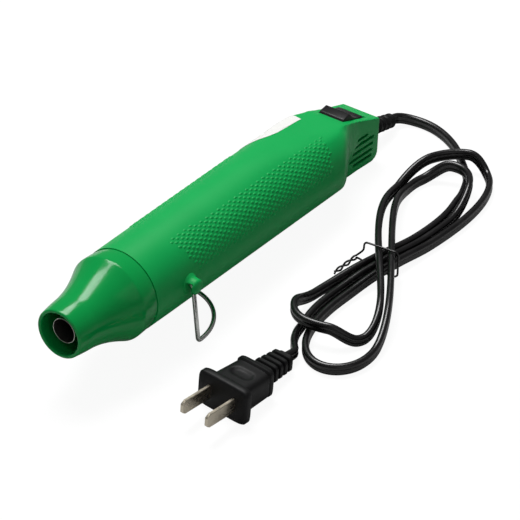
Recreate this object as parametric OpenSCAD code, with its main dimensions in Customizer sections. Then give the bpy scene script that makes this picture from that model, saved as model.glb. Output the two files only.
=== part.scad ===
// Embossing heat tool: a small hot-air gun with a wire stand, a rocker
// switch, a flat cord tied in a figure of eight and a two-blade plug.
// Millimetres, +Z up, nozzle toward -X, tail toward +X, resting on its
// wire foot and on the belly edge in front of the tail.

/* [Body] */
// Overall length along the tool's own axis
tool_length = 213; // [212:0.5:214]
// How far the nozzle end is lifted, degrees
pitch = 3.5; // [3.5]
// Body radius just behind the nozzle collar
front_radius = 18.8; // [18.7:0.05:18.9]
// Largest body radius, where the belly meets the tail
rear_radius = 20.1; // [20.1]
// Wall of the handle shells
shell_wall = 2.2; // [2:0.1:2.3]
// Side wall of the narrow tail
tail_wall = 1.4; // [1.3:0.05:1.4]
// Half width of the tail at its rear face
tail_half_width = 10; // [9.9:0.05:10.1]

/* [Nozzle] */
// Radius of the nozzle throat
throat_radius = 10.85; // [10.8:0.05:10.9]
// Wall of the nozzle shroud
shroud_wall = 1.55; // [1.4:0.05:1.6]
// Radius of the steel outlet tube
outlet_radius = 5.65; // [5.5:0.05:5.8]
// Radius of the heater barrel
barrel_radius = 12.5; // [12.5]

/* [Stand] */
// Diameter of the stand wire
stand_wire = 1.9; // [1.9]
// Centre radius of the half-round foot
foot_radius = 23.9; // [23.7:0.1:24.1]
// Distance of the pivot behind the nozzle mouth
pivot_s = 60.3; // [60.3]

/* [Switch] */
// Length of the rocker opening
opening_length = 19.8; // [19.7:0.05:19.9]
// Width of the rocker opening
opening_width = 13.6; // [13.5:0.05:13.7]
// Tilt of the rocker to each side, degrees
rocker_tilt = 11; // [10:0.5:11]

/* [Fan and motor] */
// Radius of the fan impeller
fan_radius = 14.5; // [14:0.1:14.6]
// Number of fan blades
fan_blades = 9; // [7:1:11]
// Radius of the motor can
motor_radius = 12; // [12]
// Radius of the motor shaft
shaft_radius = 1; // [1]

/* [Heater] */
// Turns of the heating coil
coil_turns = 8; // [7:1:9]

/* [Cord] */
// Wide side of the flat cord
cord_width = 5.4; // [5.4]
// Narrow side of the flat cord
cord_thickness = 3; // [3]

/* [Plug] */
// Distance between the plug blades
blade_spacing = 12.7; // [12.7]
// Length of the plug blades
blade_length = 16.4; // [15.9:0.1:16.8]

/* [Hidden] */

$fn = 64;
far = 60;

green = [0, 0.55, 0.27];
label_white = [0.9, 0.9, 0.88];
black = [0.06, 0.06, 0.065];
steel = [0.62, 0.62, 0.6];
blade_metal = [0.72, 0.67, 0.58];
copper = [0.72, 0.43, 0.25];
mica = [0.78, 0.7, 0.52];
ceramic = [0.88, 0.85, 0.78];
board_green = [0.1, 0.3, 0.2];
nylon = [0.82, 0.8, 0.74];

// Stations along the axis, measured from the nozzle mouth
collar_end = 39.6;
belly_s = 179;
dome_end = 199;
facet_s = 183.9;
facet_z = 14.3;
facet_slope = 18.08;
brow_s = 141;
brow_z = 19.9;
tail_floor = -16.7;
tail_corner = 4;
tail_front_half = 8.7;
cord_z = -6;

nozzle_z = belly_s * sin(pitch) + rear_radius * cos(pitch);
mid_x = 106.11;

function ease(x) = (1 - cos(180 * x)) / 2;
function clamp01(x) = max(0, min(1, x));
function unit(v) = v / norm(v);

// Placing

module tool_frame() {
    translate([-mid_x, 0, nozzle_z])
        rotate([0, pitch, 0])
            children();
}

module along_axis() {
    tool_frame()
        rotate([0, 90, 0])
            children();
}

module facet_frame() {
    tool_frame()
        translate([facet_s, 0, facet_z])
            rotate([0, facet_slope, 0])
                children();
}

// A cylinder along the axis from station a to station b
module barrel(a, b, r) {
    along_axis()
        translate([0, 0, a])
            cylinder(h = b - a, r = r);
}

// A cylinder across the tool at station s and height z
module crossbar(s, z, y0, y1, r) {
    translate([s, y0, z])
        rotate([-90, 0, 0])
            cylinder(h = y1 - y0, r = r);
}

function heading(route) =
    let(last = len(route) - 1)
    [for (i = [0:last]) unit(route[min(i + 1, last)] - route[max(i - 1, 0)])];
// Sideways directions that keep a flat outline standing upright
function upright(route) = [for (t = heading(route)) unit(cross([0, 0, 1], t))];
// Sideways directions carried along without twist, for round outlines
function carried(route) =
    let(t = heading(route), last = len(route) - 1)
    [
        for (
            i = 0, s = unit(cross([0.3, 0.5, 1], t[0]));
            i <= last;
            i = i + 1, s = i <= last ? unit(s - (s * t[i]) * t[i]) : s
        ) s
    ];

// One unbroken tube: an outline carried along a route
module swept(route, outline, sides) {
    last = len(route) - 1;
    n = len(outline);
    t = heading(route);
    rings = [
        for (i = [0:last])
            let(up = cross(t[i], sides[i]))
            for (q = outline) route[i] + q[0] * sides[i] + q[1] * up
    ];
    skin = [
        for (i = [0:last - 1])
            for (j = [0:n - 1])
                let(
                    a = i * n + j,
                    b = i * n + (j + 1) % n
                )
                each [[a, b, a + n], [b, b + n, a + n]]
    ];
    polyhedron(
        points = rings,
        faces = concat(
            [[for (j = [n - 1:-1:0]) j]],
            [[for (j = [0:n - 1]) last * n + j]],
            skin
        ),
        convexity = 10
    );
}

function round_outline(r, n) = [for (i = [0:n - 1]) [r * cos(360 * i / n), r * sin(360 * i / n)]];

// Handle

function body_r(s) =
    s < 54 ? front_radius + 0.2 * (s - collar_end) / 14.4 :
    s < 100 ? front_radius + 0.2 + 0.4 * (s - 54) / 46 :
    s < belly_s ? front_radius + 0.6 + (rear_radius - front_radius - 0.6) * (s - 100) / 79 :
    10 + (rear_radius - 10) * (1 - ease((s - belly_s) / (dome_end - belly_s)));

// Moves the dome's stations with its offset, so its wall stays even
function dome_at(s, grow) = s + grow * clamp01((s - belly_s) / (dome_end - belly_s));

module round_body(grow, front) {
    stations = [front, 54, 100, for (s = [belly_s:2.5:dome_end]) s];
    along_axis()
        rotate_extrude($fn = 96)
            polygon(concat(
                [[0, front]],
                [for (s = stations) [body_r(max(s, collar_end)) + grow, dome_at(s, grow)]],
                [[0, dome_end + grow]]
            ));
}

// Side view of the tail, moved outward by grow
module tail_side(grow) {
    c = tail_corner + grow;
    translate([tool_length - tail_corner, tail_floor + tail_corner])
        circle(r = c);
    polygon([
        [166, tail_floor - grow],
        [tool_length - tail_corner, tail_floor - grow],
        [tool_length - tail_corner, tail_floor + tail_corner],
        [tool_length + grow, tail_floor + tail_corner],
        [tool_length + grow, 16],
        [166, 18]
    ]);
}

module tail_block(grow, side_grow) {
    slope = (tail_half_width - tail_front_half) / (tool_length - 184);
    front_half = tail_front_half - 18 * slope + side_grow;
    rear_half = tail_half_width + 2 * slope + side_grow;
    tool_frame()
        intersection() {
            rotate([90, 0, 0])
                translate([0, 0, -far / 2])
                    linear_extrude(far)
                        tail_side(grow);
            translate([0, 0, -far / 2])
                linear_extrude(far)
                    polygon([
                        [166, -front_half],
                        [tool_length + 2, -rear_half],
                        [tool_length + 2, rear_half],
                        [166, front_half]
                    ]);
        }
}

// Everything above the brow and the switch facet
module above_facet(grow) {
    rise = (brow_z - facet_z) / (facet_s - brow_s);
    run = (tool_length + 12 - facet_s);
    tool_frame()
        rotate([90, 0, 0])
            translate([0, 0, -far / 2])
                linear_extrude(far)
                    polygon([
                        [brow_s - 20, brow_z + 20 * rise + grow],
                        [facet_s, facet_z + grow],
                        [facet_s + run, facet_z - run * tan(facet_slope) + grow],
                        [facet_s + run, far],
                        [brow_s - 20, far]
                    ]);
}

module body_solid(grow = 0) {
    difference() {
        union() {
            round_body(grow, collar_end);
            tail_block(grow, grow);
        }
        above_facet(grow);
    }
}

module body_hollow() {
    difference() {
        union() {
            round_body(-shell_wall, collar_end - 1);
            tail_block(-shell_wall, -tail_wall);
        }
        above_facet(-shell_wall);
    }
}

// Vent slots in the tail: front end, rear end, height
vents = [
    [196.2, 204.8, 0],
    [194.3, 209.4, -2.8],
    [192.8, 209.0, -6.1],
    [190.8, 208.8, -9.4],
    [194.0, 208.3, -12.3]
];
vent_width = 1.5;

module vent_cuts() {
    r = vent_width / 2;
    tool_frame()
        for (v = vents) {
            translate([v[0] + r, -far / 2, v[2] - r])
                cube([v[1] - v[0] - vent_width, far, vent_width]);
            crossbar(v[0] + r, v[2], -far / 2, far / 2, r);
            crossbar(v[1] - r, v[2], -far / 2, far / 2, r);
        }
}

opening_mid = 3.5 + opening_length / 2;
lip_depth = 0.9;

module rocker_opening() {
    facet_frame() {
        translate([opening_mid - opening_length / 2, -opening_width / 2, -5])
            cube([opening_length, opening_width, 10]);
        translate([opening_mid - 10.8, -7, -5])
            cube([21.6, 14, 5 - lip_depth]);
    }
}

// Screw posts: station, height
posts = [[69, -13.5], [128, -13.5], [170, -12.5]];
post_radius = 3;
head_radius = 2.1;
head_y = 6;

boss_radius = 3.4;
boss_reach = 23;
bore_radius = stand_wire / 2 + 0.1;
boss_inner = 14.9;
slot_low = 19.35;
slot_high = 22.3;

relief_hole = 4.2;

// Ledges that hold the circuit board by its edges
module board_ledges(side) {
    tool_frame()
        for (s = [134, 152])
            difference() {
                translate([s, side > 0 ? 7 : -19, -8])
                    cube([4, 12, 6]);
                translate([s - 1, -8.3, -5.85])
                    cube([6, 16.6, 1.5]);
            }
}

module clamp_posts(side) {
    tool_frame()
        translate([198.5, side * 5, -14])
            cylinder(h = 9.4, r = 2.1);
}

// One half of the handle; side is -1 for the near half, 1 for the far half
module shell_half(side) {
    color(green)
        difference() {
            union() {
                difference() {
                    body_solid();
                    body_hollow();
                    vent_cuts();
                    rocker_opening();
                }
                intersection() {
                    body_solid();
                    union() {
                        board_ledges(side);
                        tool_frame()
                            for (p = posts)
                                crossbar(p[0], p[1], side > 0 ? 0 : -19, side > 0 ? 19 : 0, post_radius);
                    }
                }
                clamp_posts(side);
                tool_frame() {
                    crossbar(pivot_s, 0, side > 0 ? 17 : -boss_reach, side > 0 ? boss_reach : -17, boss_radius);
                    crossbar(pivot_s, 0, side > 0 ? 17 : -boss_reach - 0.7, side > 0 ? boss_reach + 0.7 : -17, boss_radius - 0.8);
                }
            }
            tool_frame() {
                // only this side of the parting plane stays
                translate([-20, side > 0 ? -far : 0, -far])
                    cube([tool_length + 60, far, 2 * far]);
                // hinge bore, then the slot the stand leg swings in
                crossbar(pivot_s, 0, side > 0 ? boss_inner - 2 : -slot_high, side > 0 ? slot_high : 2 - boss_inner,
                    bore_radius);
                translate([pivot_s - 8, side > 0 ? slot_low : -slot_high, -8])
                    cube([9.3, slot_high - slot_low, 10.3]);
                // screw holes
                for (p = posts)
                    if (side > 0) {
                        crossbar(p[0], p[1], -1, 20, 1.3);
                        crossbar(p[0], p[1], head_y, 22, head_radius + 0.3);
                    } else {
                        crossbar(p[0], p[1], -9, 1, 1.05);
                    }
                translate([198.5, side * 5, -12])
                    cylinder(h = 12, r = 0.85, $fn = 24);
                // cord outlet
                translate([tool_length - 8, 0, cord_z])
                    rotate([0, 90, 0])
                        cylinder(h = 12, r = relief_hole);
            }
        }
}

module left_shell() {
    shell_half(-1);
}

module right_shell() {
    shell_half(1);
}

module body_screws() {
    color(steel)
        tool_frame()
            for (p = posts) {
                crossbar(p[0], p[1], -8, head_y + 0.5, 1);
                difference() {
                    crossbar(p[0], p[1], head_y, head_y + 1.7, head_radius);
                    for (a = [0, 90])
                        translate([p[0], head_y + 1.7, p[1]])
                            rotate([0, a, 0])
                                cube([2.6, 1.6, 0.6], center = true);
                }
            }
}

// Bare sticker on the far side, with a pointed-round front end
label_lift = 0.15;
label_rear = 172.5;
label_front = 140.6;
label_middle = 167;
label_half = 11.5;

module rating_label() {
    color(label_white)
        difference() {
            intersection() {
                body_solid(label_lift);
                tool_frame()
                    rotate([-53, 0, 0])
                        linear_extrude(far)
                            polygon(concat(
                                [
                                    for (a = [90:9:270])
                                        [label_middle + (label_middle - label_front) * cos(a), label_half * sin(a)]
                                ],
                                [[label_rear, -label_half], [label_rear, label_half]]
                            ));
            }
            body_solid(0);
        }
}

// Nozzle and heater

// The neck widens slowly, then the flare runs straight to a shoulder
shoulder_s = 31;
neck_rise = 1.3;
shoulder_radius = 18.95;
function shroud_r(s) =
    throat_radius + neck_rise * sin(90 * clamp01(s / 14)) +
    (shoulder_radius - throat_radius - neck_rise) * pow(clamp01((s - 10) / (shoulder_s - 10)), 1.6);

spigot_radius = front_radius - shell_wall - 0.1;

module shroud() {
    lip = 0.8;
    color(green)
        along_axis()
            rotate_extrude($fn = 96)
                polygon(concat(
                    [for (a = [180:30:360]) [throat_radius + 0.1 - lip + lip * cos(a), lip + lip * sin(a)]],
                    [for (s = [3:2:shoulder_s]) [shroud_r(s), s]],
                    [[front_radius, 36]],
                    [
                        [front_radius - 0.3, collar_end],
                        [spigot_radius, collar_end],
                        [spigot_radius, 44],
                        [spigot_radius - 1.6, 44],
                        [spigot_radius - 1.6, 38.4],
                        [shoulder_radius - shroud_wall, 36]
                    ],
                    [for (s = [shoulder_s:-2:3]) [shroud_r(s) - shroud_wall, s]]
                ));
}

module outlet_tube() {
    w = 0.5;
    color(steel)
        along_axis()
            rotate_extrude($fn = 64)
                polygon([
                    [outlet_radius, 3.2],
                    [outlet_radius, 18],
                    [barrel_radius, 26],
                    [barrel_radius, 61.9],
                    [barrel_radius - w, 61.9],
                    [barrel_radius - w, 26.2],
                    [outlet_radius - w, 18.2],
                    [outlet_radius - w, 3.2]
                ]);
}

module mica_sleeve() {
    color(mica)
        difference() {
            barrel(27, 61, 11.6);
            barrel(26, 62, 11.2);
        }
}

former_half = 8.5;

module heater_former() {
    color(mica)
        tool_frame() {
            translate([28, -former_half, -0.4])
                cube([33.8, 2 * former_half, 0.8]);
            translate([28, -0.4, -former_half])
                cube([33.8, 0.8, 2 * former_half]);
        }
}

coil_steps = 16 * coil_turns;
coil_route = [
    for (i = [0:coil_steps])
        let(a = 360 * coil_turns * i / coil_steps)
        [31 + 25 * i / coil_steps, 9.3 * cos(a), 9.3 * sin(a)]
];

module heating_coil() {
    color(steel)
        tool_frame()
            swept(coil_route, round_outline(0.35, 6), carried(coil_route));
}

module thermal_fuse() {
    color(steel)
        tool_frame()
            translate([44, 3.6, 3.6])
                rotate([0, 90, 0]) {
                    cylinder(h = 9, r = 1.6);
                    translate([0, 0, -4])
                        cylinder(h = 17.6, r = 0.35, $fn = 24);
                }
}

plate_radius = 16.6;

module element_plate() {
    color(ceramic)
        difference() {
            barrel(62, 63.4, plate_radius);
            for (a = [45:90:315])
                tool_frame()
                    translate([60, 7.6 * cos(a), 7.6 * sin(a)])
                        rotate([0, 90, 0])
                            cylinder(h = 5, r = 3.6);
            barrel(60, 65, 2);
        }
}

lead_r = 0.55;
lead_orbit = 16.15;
inner_cord_s = 193;
mains_start = inner_cord_s - 0.3;

module insulated_wire(route) {
    swept(route, round_outline(lead_r, 8), carried(route));
}

module heater_leads() {
    color(copper)
        tool_frame()
            for (side = [-1, 1])
                insulated_wire([
                    [135.5, side * 4, -3.6],
                    [130.5, side * 10.5, 0.8],
                    [125, side * 15.5, 3.1],
                    [121, side * lead_orbit * cos(12), lead_orbit * sin(12)],
                    [70, side * lead_orbit * cos(12), lead_orbit * sin(12)],
                    [66.5, side * 15.4, 3.3],
                    [64.1, side * 14, 3.2]
                ]);
}

// Fan and motor

fan_front = 76;
fan_rear = 87;

module fan_impeller() {
    color(nylon)
        difference() {
            union() {
                barrel(fan_front, fan_rear, 4);
                barrel(fan_rear - 1.2, fan_rear, fan_radius);
                intersection() {
                    barrel(fan_front, fan_rear, fan_radius);
                    tool_frame()
                        for (k = [0:fan_blades - 1])
                            rotate([360 * k / fan_blades, 0, 0])
                                translate([fan_front, 3, -0.5])
                                    cube([fan_rear - fan_front, 14, 1]);
                }
            }
            barrel(fan_front - 1, fan_rear + 1, shaft_radius);
        }
}

module motor_shaft() {
    color(steel)
        barrel(fan_front, 127, shaft_radius);
}

module armature() {
    color(steel)
        difference() {
            union() {
                barrel(98, 112, 3.2);
                tool_frame()
                    for (a = [0, 120, 240])
                        rotate([a, 0, 0]) {
                            translate([98, 0, -1.4])
                                cube([14, 7, 2.8]);
                            intersection() {
                                translate([98, 5.6, -4.6])
                                    cube([14, 3, 9.2]);
                                translate([98, 0, 0])
                                    rotate([0, 90, 0])
                                        cylinder(h = 14, r = 7.6);
                            }
                        }
            }
            barrel(97, 113, shaft_radius);
        }
}

module commutator() {
    color(copper)
        difference() {
            barrel(113, 118.5, 2.6);
            barrel(112, 120, shaft_radius);
        }
}

can_front = 92;
can_rear = 121;

module motor_can() {
    color(steel)
        difference() {
            union() {
                barrel(can_front, can_rear, motor_radius);
                barrel(can_front - 2, can_front, 3.4);
            }
            barrel(can_front + 1.2, can_rear + 1, motor_radius - 1);
            barrel(can_front - 3, can_front + 3, shaft_radius + 0.05);
        }
}

module motor_magnets() {
    color(black)
        difference() {
            barrel(97, 113, motor_radius - 1.05);
            barrel(96, 114, 8.2);
            tool_frame()
                translate([90, -far / 2, -4])
                    cube([30, far, 8]);
        }
}

module motor_cap() {
    color(nylon)
        difference() {
            union() {
                barrel(can_rear, can_rear + 1.6, motor_radius);
                barrel(can_rear - 1.6, can_rear + 1.6, motor_radius - 1.05);
                barrel(can_rear + 1.6, can_rear + 4, 3.4);
            }
            barrel(can_rear - 3, can_rear + 6, shaft_radius + 0.05);
        }
}

module motor_cradle() {
    color(black)
        difference() {
            union() {
                barrel(96, 110, motor_radius + 1.5);
                intersection() {
                    barrel(96, 110, 16.9);
                    tool_frame()
                        for (a = [45:90:315])
                            rotate([a, 0, 0])
                                translate([96, 12.4, -1])
                                    cube([14, 6, 2]);
                }
            }
            barrel(95, 111, motor_radius);
        }
}

// Electrics

board_top = -4.45;

module circuit_board() {
    color(board_green)
        tool_frame()
            translate([133, -8, board_top - 1.2])
                cube([24, 16, 1.2]);
}

module rectifier_diodes() {
    color(black)
        tool_frame()
            for (k = [0:3])
                translate([138 + 3.6 * k, -6.5, board_top + 1.4])
                    rotate([-90, 0, 0])
                        cylinder(h = 5, r = 1.35);
}

module capacitor() {
    color(copper)
        tool_frame()
            translate([139, 3.4, board_top + 3.6])
                rotate([0, 90, 0])
                    cylinder(h = 13, r = 3.5);
}

module mains_leads() {
    color(copper)
        tool_frame() {
            insulated_wire([[mains_start, 1.4, cord_z], [190, 1.6, -4.6], [185.9, 1.6, -2.1]]);
            insulated_wire([[mains_start, -1.4, cord_z], [180, -3, -6.4], [165, -5, -6], [157.3, -5.6, -5]]);
        }
}

// Rocker switch

rocker_pivot = -4;
rocker_half = 6.5;
cheek_half = 7.3;
stub_radius = 1.3;
switch_floor = -10;

module switch_body() {
    color(black)
        facet_frame()
            difference() {
                translate([opening_mid - 11, -cheek_half, switch_floor])
                    cube([22, 2 * cheek_half, -switch_floor - 2.3]);
                translate([opening_mid - 10.4, -6.65, -7.8])
                    cube([20.8, 13.3, 8]);
                crossbar(opening_mid, rocker_pivot, -10, 10, stub_radius + 0.06);
            }
}

module switch_terminals() {
    color(blade_metal)
        facet_frame()
            for (x = [6, 12])
                translate([x - 0.4, -2.4, switch_floor - 4.4])
                    cube([0.8, 4.8, 4.4]);
}

// The rocker is drawn level about its pivot, then tilted nose up
module switch_rocker() {
    color(black)
        facet_frame()
            translate([opening_mid, 0, rocker_pivot])
                rotate([0, rocker_tilt, 0])
                    union() {
                        intersection() {
                            crossbar(0, 0, -rocker_half, rocker_half, 10.15);
                            rotate([90, 0, 0])
                                translate([0, 0, -rocker_half])
                                    linear_extrude(2 * rocker_half)
                                        polygon([
                                            [-11, 2.1], [-5.9, 6.05], [-3, 5.2], [0, 4.9],
                                            [3, 5.2], [5.9, 6.05], [11, 2.1],
                                            [11, -1.5], [-11, -1.5]
                                        ]);
                        }
                        crossbar(0, 0, -7.2, 7.2, stub_radius);
                    }
}

// Cord entry

module cord_clamp() {
    color(nylon)
        tool_frame()
            difference() {
                translate([196.2, -7, -4.45])
                    cube([4.6, 14, 1.3]);
                for (y = [-5, 5])
                    translate([198.5, y, -6])
                        cylinder(h = 4, r = 0.95);
            }
}

module clamp_screws() {
    color(steel)
        tool_frame()
            for (y = [-5, 5])
                translate([198.5, y, -10]) {
                    cylinder(h = 6.9, r = 0.8, $fn = 24);
                    translate([0, 0, 6.9])
                        cylinder(h = 0.9, r = 1.5, $fn = 24);
                }
}

flat_outline = [
    [0.75, cord_width / 2], [-0.75, cord_width / 2],
    [-cord_thickness / 2, 1], [-cord_thickness / 2, -1],
    [-0.75, -cord_width / 2], [0.75, -cord_width / 2],
    [cord_thickness / 2, -1], [cord_thickness / 2, 1]
];
hank_outline = [
    [0.8, cord_width / 2], [-0.8, cord_width / 2],
    [-cord_thickness / 2, 0],
    [-0.8, -cord_width / 2], [0.8, -cord_width / 2],
    [cord_thickness / 2, 0]
];

module cord_inner() {
    color(black)
        tool_frame()
            translate([inner_cord_s, 0, cord_z])
                rotate([0, 90, 0])
                    linear_extrude(15.9)
                        polygon(flat_outline);
}

relief_start = [106.1, 0, 12];
relief_tilt = 15;
relief_yaw = -3;
relief_length = 24;
relief_dir = [
    cos(relief_tilt) * cos(relief_yaw),
    cos(relief_tilt) * sin(relief_yaw),
    -sin(relief_tilt)
];
relief_end = relief_start + relief_length * relief_dir;

// Ribbed boot: a slim core with round collars
module strain_relief() {
    color(black) {
        barrel_at_cord(tool_length - 4, tool_length - 2.3, 5.2);
        barrel_at_cord(tool_length - 4, tool_length + 1, 4.1);
        barrel_at_cord(tool_length + 0.1, tool_length + 1.6, 4.6);
        translate(relief_start)
            rotate([0, 90 + relief_tilt, relief_yaw]) {
                translate([0, 0, 0.8])
                    cylinder(h = relief_length - 0.8, r1 = 3.1, r2 = 2.9);
                for (k = [0:4])
                    translate([0, 0, 4.4 + 3.6 * k])
                        cylinder(h = 1.5, r = 4.1 - 0.12 * k);
                translate([0, 0, relief_length - 1.4])
                    cylinder(h = 1.4, r = 3.5);
            }
    }
}

module barrel_at_cord(a, b, r) {
    tool_frame()
        translate([a, 0, cord_z])
            rotate([0, 90, 0])
                cylinder(h = b - a, r = r);
}

// Cord

cord_low = cord_width / 2 + 0.05;
lead_route = [
    relief_end,
    relief_end + cord_width * relief_dir,
    [137.6, -4.2, 3.5],
    [139.4, -8.6, 2.9],
    [139.9, -13.8, cord_low],
    [139.2, -19.5, cord_low],
    [137, -26, cord_low],
    [133.5, -32.5, cord_low],
    [129, -38.5, cord_low],
    [123.5, -44, cord_low],
    [117.5, -49.8, cord_low],
    [110.8, -54.2, cord_low]
];

// The hank: a figure of eight laid two and a half times, narrow at the tie.
// Each half turn takes its reach and half width from these lists.
tie = [36.4, -60.5];
hank_yaw = 6;
hank_from = 128;
hank_to = 938;
hank_reach = [66, 55, 88, 71, 76, 66];
hank_half = [12.5, 16, 17.5, 13.5, 15.5, 14.5];
hank_shift = [3, 7.6, 5.5, 3.5, 0.8, -1, -8, -2.5, 4.2, 3.4, -4];
// Where a strand climbs over others: centre, flat run, ramp, in degrees
hank_climbs = [[358, 16, 30], [722, 16, 30], [258, 26, 26], [432, 12, 28], [823, 18, 28]];
climb_height = 5.9;
// All strands rise together at the tie, so its wire passes below them
tie_rise = 1.3;

function along(list, k) =
    let(
        i = min(floor(k), len(list) - 2),
        f = ease(k - i)
    )
    list[i] + (list[i + 1] - list[i]) * f;
function climb(t) = max([for (h = hank_climbs) 1 - ease(clamp01((abs(t - h[0]) - h[1]) / h[2]))]);
function hank_point(t) =
    let(
        k = (t - 90) / 180,
        x = along(hank_reach, k) * (sin(t) + 0.04 * sin(3 * t)) / 0.96,
        y = along(hank_half, k) * (sin(2 * t) + 0.1 * sin(4 * t))
            + 8 * sin(t) * pow(cos(t), 2) + along(hank_shift, 2 * k),
        lift = tie_rise * (1 - ease(clamp01((abs(x) - 4) / 22)))
    )
    [
        tie[0] + x * cos(hank_yaw) - y * sin(hank_yaw),
        tie[1] + x * sin(hank_yaw) + y * cos(hank_yaw),
        cord_low + climb_height * climb(t) + lift
    ];
hank_step = 9;
hank_rings = [for (t = [hank_from:hank_step:hank_to]) hank_point(t)];
hank_in = unit(hank_rings[0] - hank_point(hank_from + 0.5));
hank_out = unit(hank_rings[len(hank_rings) - 1] - hank_point(hank_to - 0.5));
hank_start = hank_rings[0] + cord_width * hank_in;
hank_end = hank_rings[len(hank_rings) - 1] + cord_width * hank_out;
hank_route = concat([hank_start], hank_rings, [hank_end]);

// Least clear space between two runs of the hank, from points on its centre line
function flat_gap(d) =
    let(
        side = norm([d[0], d[1]]) - cord_thickness,
        above = abs(d[2]) - cord_width
    )
    above < 0 ? side : norm([max(side, 0), above]);
gap_points = [for (t = [hank_from:3:hank_to]) hank_point(t)];
hank_gap = min([
    for (i = [0:len(gap_points) - 10])
        min([for (j = [i + 9:len(gap_points) - 1]) flat_gap(gap_points[j] - gap_points[i])])
]);
echo(hank_gap = hank_gap);

lead_path = concat(lead_route, [hank_start + cord_width * hank_in, hank_start]);

module cord_lead() {
    color(black)
        swept(lead_path, flat_outline, upright(lead_path));
}

module cord_hank() {
    color(black)
        swept(hank_route, hank_outline, upright(hank_route));
}

// Plug

plug_face = [-78.426, -58.741, 8.6];
plug_yaw = -4.5;
plug_tip = 6;
relief_reach = 40;
plug_dir = [
    cos(plug_tip) * cos(plug_yaw),
    cos(plug_tip) * sin(plug_yaw),
    -sin(plug_tip)
];
plug_end = plug_face + relief_reach * plug_dir;

module plug_frame() {
    translate(plug_face)
        rotate([0, plug_tip, plug_yaw])
            children();
}

// A block with cut-off corners, across the plug's own length
module plug_slab(a, b, width, height, cut, rise = 0) {
    w = width / 2;
    h = height / 2;
    translate([a, 0, rise])
        rotate([90, 0, 90])
            linear_extrude(b - a)
                polygon([
                    [-w, -h + cut], [-w + cut, -h], [w - cut, -h], [w, -h + cut],
                    [w, h - cut], [w - cut, h], [-w + cut, h], [-w, h - cut]
                ]);
}

module plug_body() {
    color(black)
        plug_frame()
            difference() {
                union() {
                    plug_slab(0, 4, 25.4, 16.4, 2.4);
                    plug_slab(3.9, 19, 19, 13, 2);
                    plug_slab(18.9, 22, 18, 13, 2.4, 0.5);
                    plug_slab(21.9, relief_reach, 6.4, 6, 1);
                    for (k = [0:4])
                        plug_slab(24 + 3.1 * k, 25.7 + 3.1 * k, 10 - 0.5 * k, 7.5 - 0.2 * k, 1);
                    plug_slab(relief_reach - 1.2, relief_reach, 7.2, 6.6, 1);
                }
                for (y = [-1, 1])
                    translate([-1, y * blade_spacing / 2 - 0.75, -3.175])
                        cube([9, 1.5, 6.35]);
                // finger grip
                translate([8, -5, 5.7])
                    cube([7, 10, 4]);
            }
}

module plug_blades() {
    color(blade_metal)
        plug_frame()
            for (y = [-1, 1])
                translate([0, y * blade_spacing / 2 + 0.75, 0])
                    rotate([90, 0, 0])
                        linear_extrude(1.5)
                            polygon([
                                [8, -3.175], [8, 3.175],
                                [-blade_length + 1.6, 3.175], [-blade_length, 1.9],
                                [-blade_length, -1.9], [-blade_length + 1.6, -3.175]
                            ]);
}

tail_route = [
    hank_end,
    hank_end + cord_width * hank_out,
    [-26, -56.9, 2.9],
    [-29.8, -59.6, 3.3],
    plug_end + cord_width * plug_dir,
    plug_end
];

module cord_tail() {
    color(black)
        swept(tail_route, flat_outline, upright(tail_route));
}

// Twist tie

// The tie is one wire: down the stem, round the bundle, back up the stem.
// Local frame: x along the hank, y across it toward the tool, z up.
tie_wire = 0.45;
tie_left = 10.6;
tie_right = -5.7;
tie_low = 0.6;
tie_high = 13.5;
tie_turn = 1.8;
stem_foot = [-1.4, 13.4, 5.6];
stem_dir = unit([-1, 0.35, -0.2]);
stem_length = 13;
stem_turns = 1.5;
stem_gap = 0.7;
stem_steps = 18;

stem_side = unit(cross([0, 0, 1], stem_dir));
stem_up = cross(stem_dir, stem_side);
function tie_place(p) = [
    tie[0] + p[0] * cos(hank_yaw) - p[1] * sin(hank_yaw),
    tie[1] + p[0] * sin(hank_yaw) + p[1] * cos(hank_yaw),
    p[2]
];
function stem_point(u, phase) =
    let(a = 360 * stem_turns * u + phase)
    stem_foot + stem_length * u * stem_dir + stem_gap * (cos(a) * stem_side + sin(a) * stem_up);
function tie_corner(y, z, from) = [
    for (a = [0:30:90])
        [0, y + tie_turn * cos(from + a), z + tie_turn * sin(from + a)]
];
tie_route = concat(
    [for (i = [stem_steps:-1:0]) stem_point(i / stem_steps, 90)],
    [[-0.4, 12.2, 7.4], [0, tie_left + 0.3, 9.2]],
    tie_corner(tie_left - tie_turn, tie_high - tie_turn, 0),
    [[0, 3, tie_high]],
    tie_corner(tie_right + tie_turn, tie_high - tie_turn, 90),
    [[0, tie_right, 7]],
    tie_corner(tie_right + tie_turn, tie_low + tie_turn, 180),
    [[0, 3, tie_low]],
    tie_corner(tie_left - tie_turn, tie_low + tie_turn, 270),
    [[-0.4, 11.9, 3.9]],
    [for (i = [0:stem_steps]) stem_point(i / stem_steps, 270)]
);
tie_path = [for (p = tie_route) tie_place(p)];

module twist_tie() {
    color(black)
        swept(tie_path, round_outline(tie_wire, 6), carried(tie_path));
}

// Stand

// Wire bail: ends turned in through the bosses, legs splayed down to a
// half-round foot that lies on the table
stand_arm_y = 20.55;
stand_end_y = 15.3;
stand_pin_y = 18.4;
stand_r = stand_wire / 2;
stand_bend = 2;
pivot_x = pivot_s * cos(pitch) - mid_x;
pivot_z = nozzle_z - pivot_s * sin(pitch);
stand_hub = [pivot_x, stand_arm_y, pivot_z];
stand_heel = [pivot_x - 1.7, foot_radius, stand_r];
foot_mid = pivot_x + 1.12;
stand_leg = unit(stand_hub - stand_heel);

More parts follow.
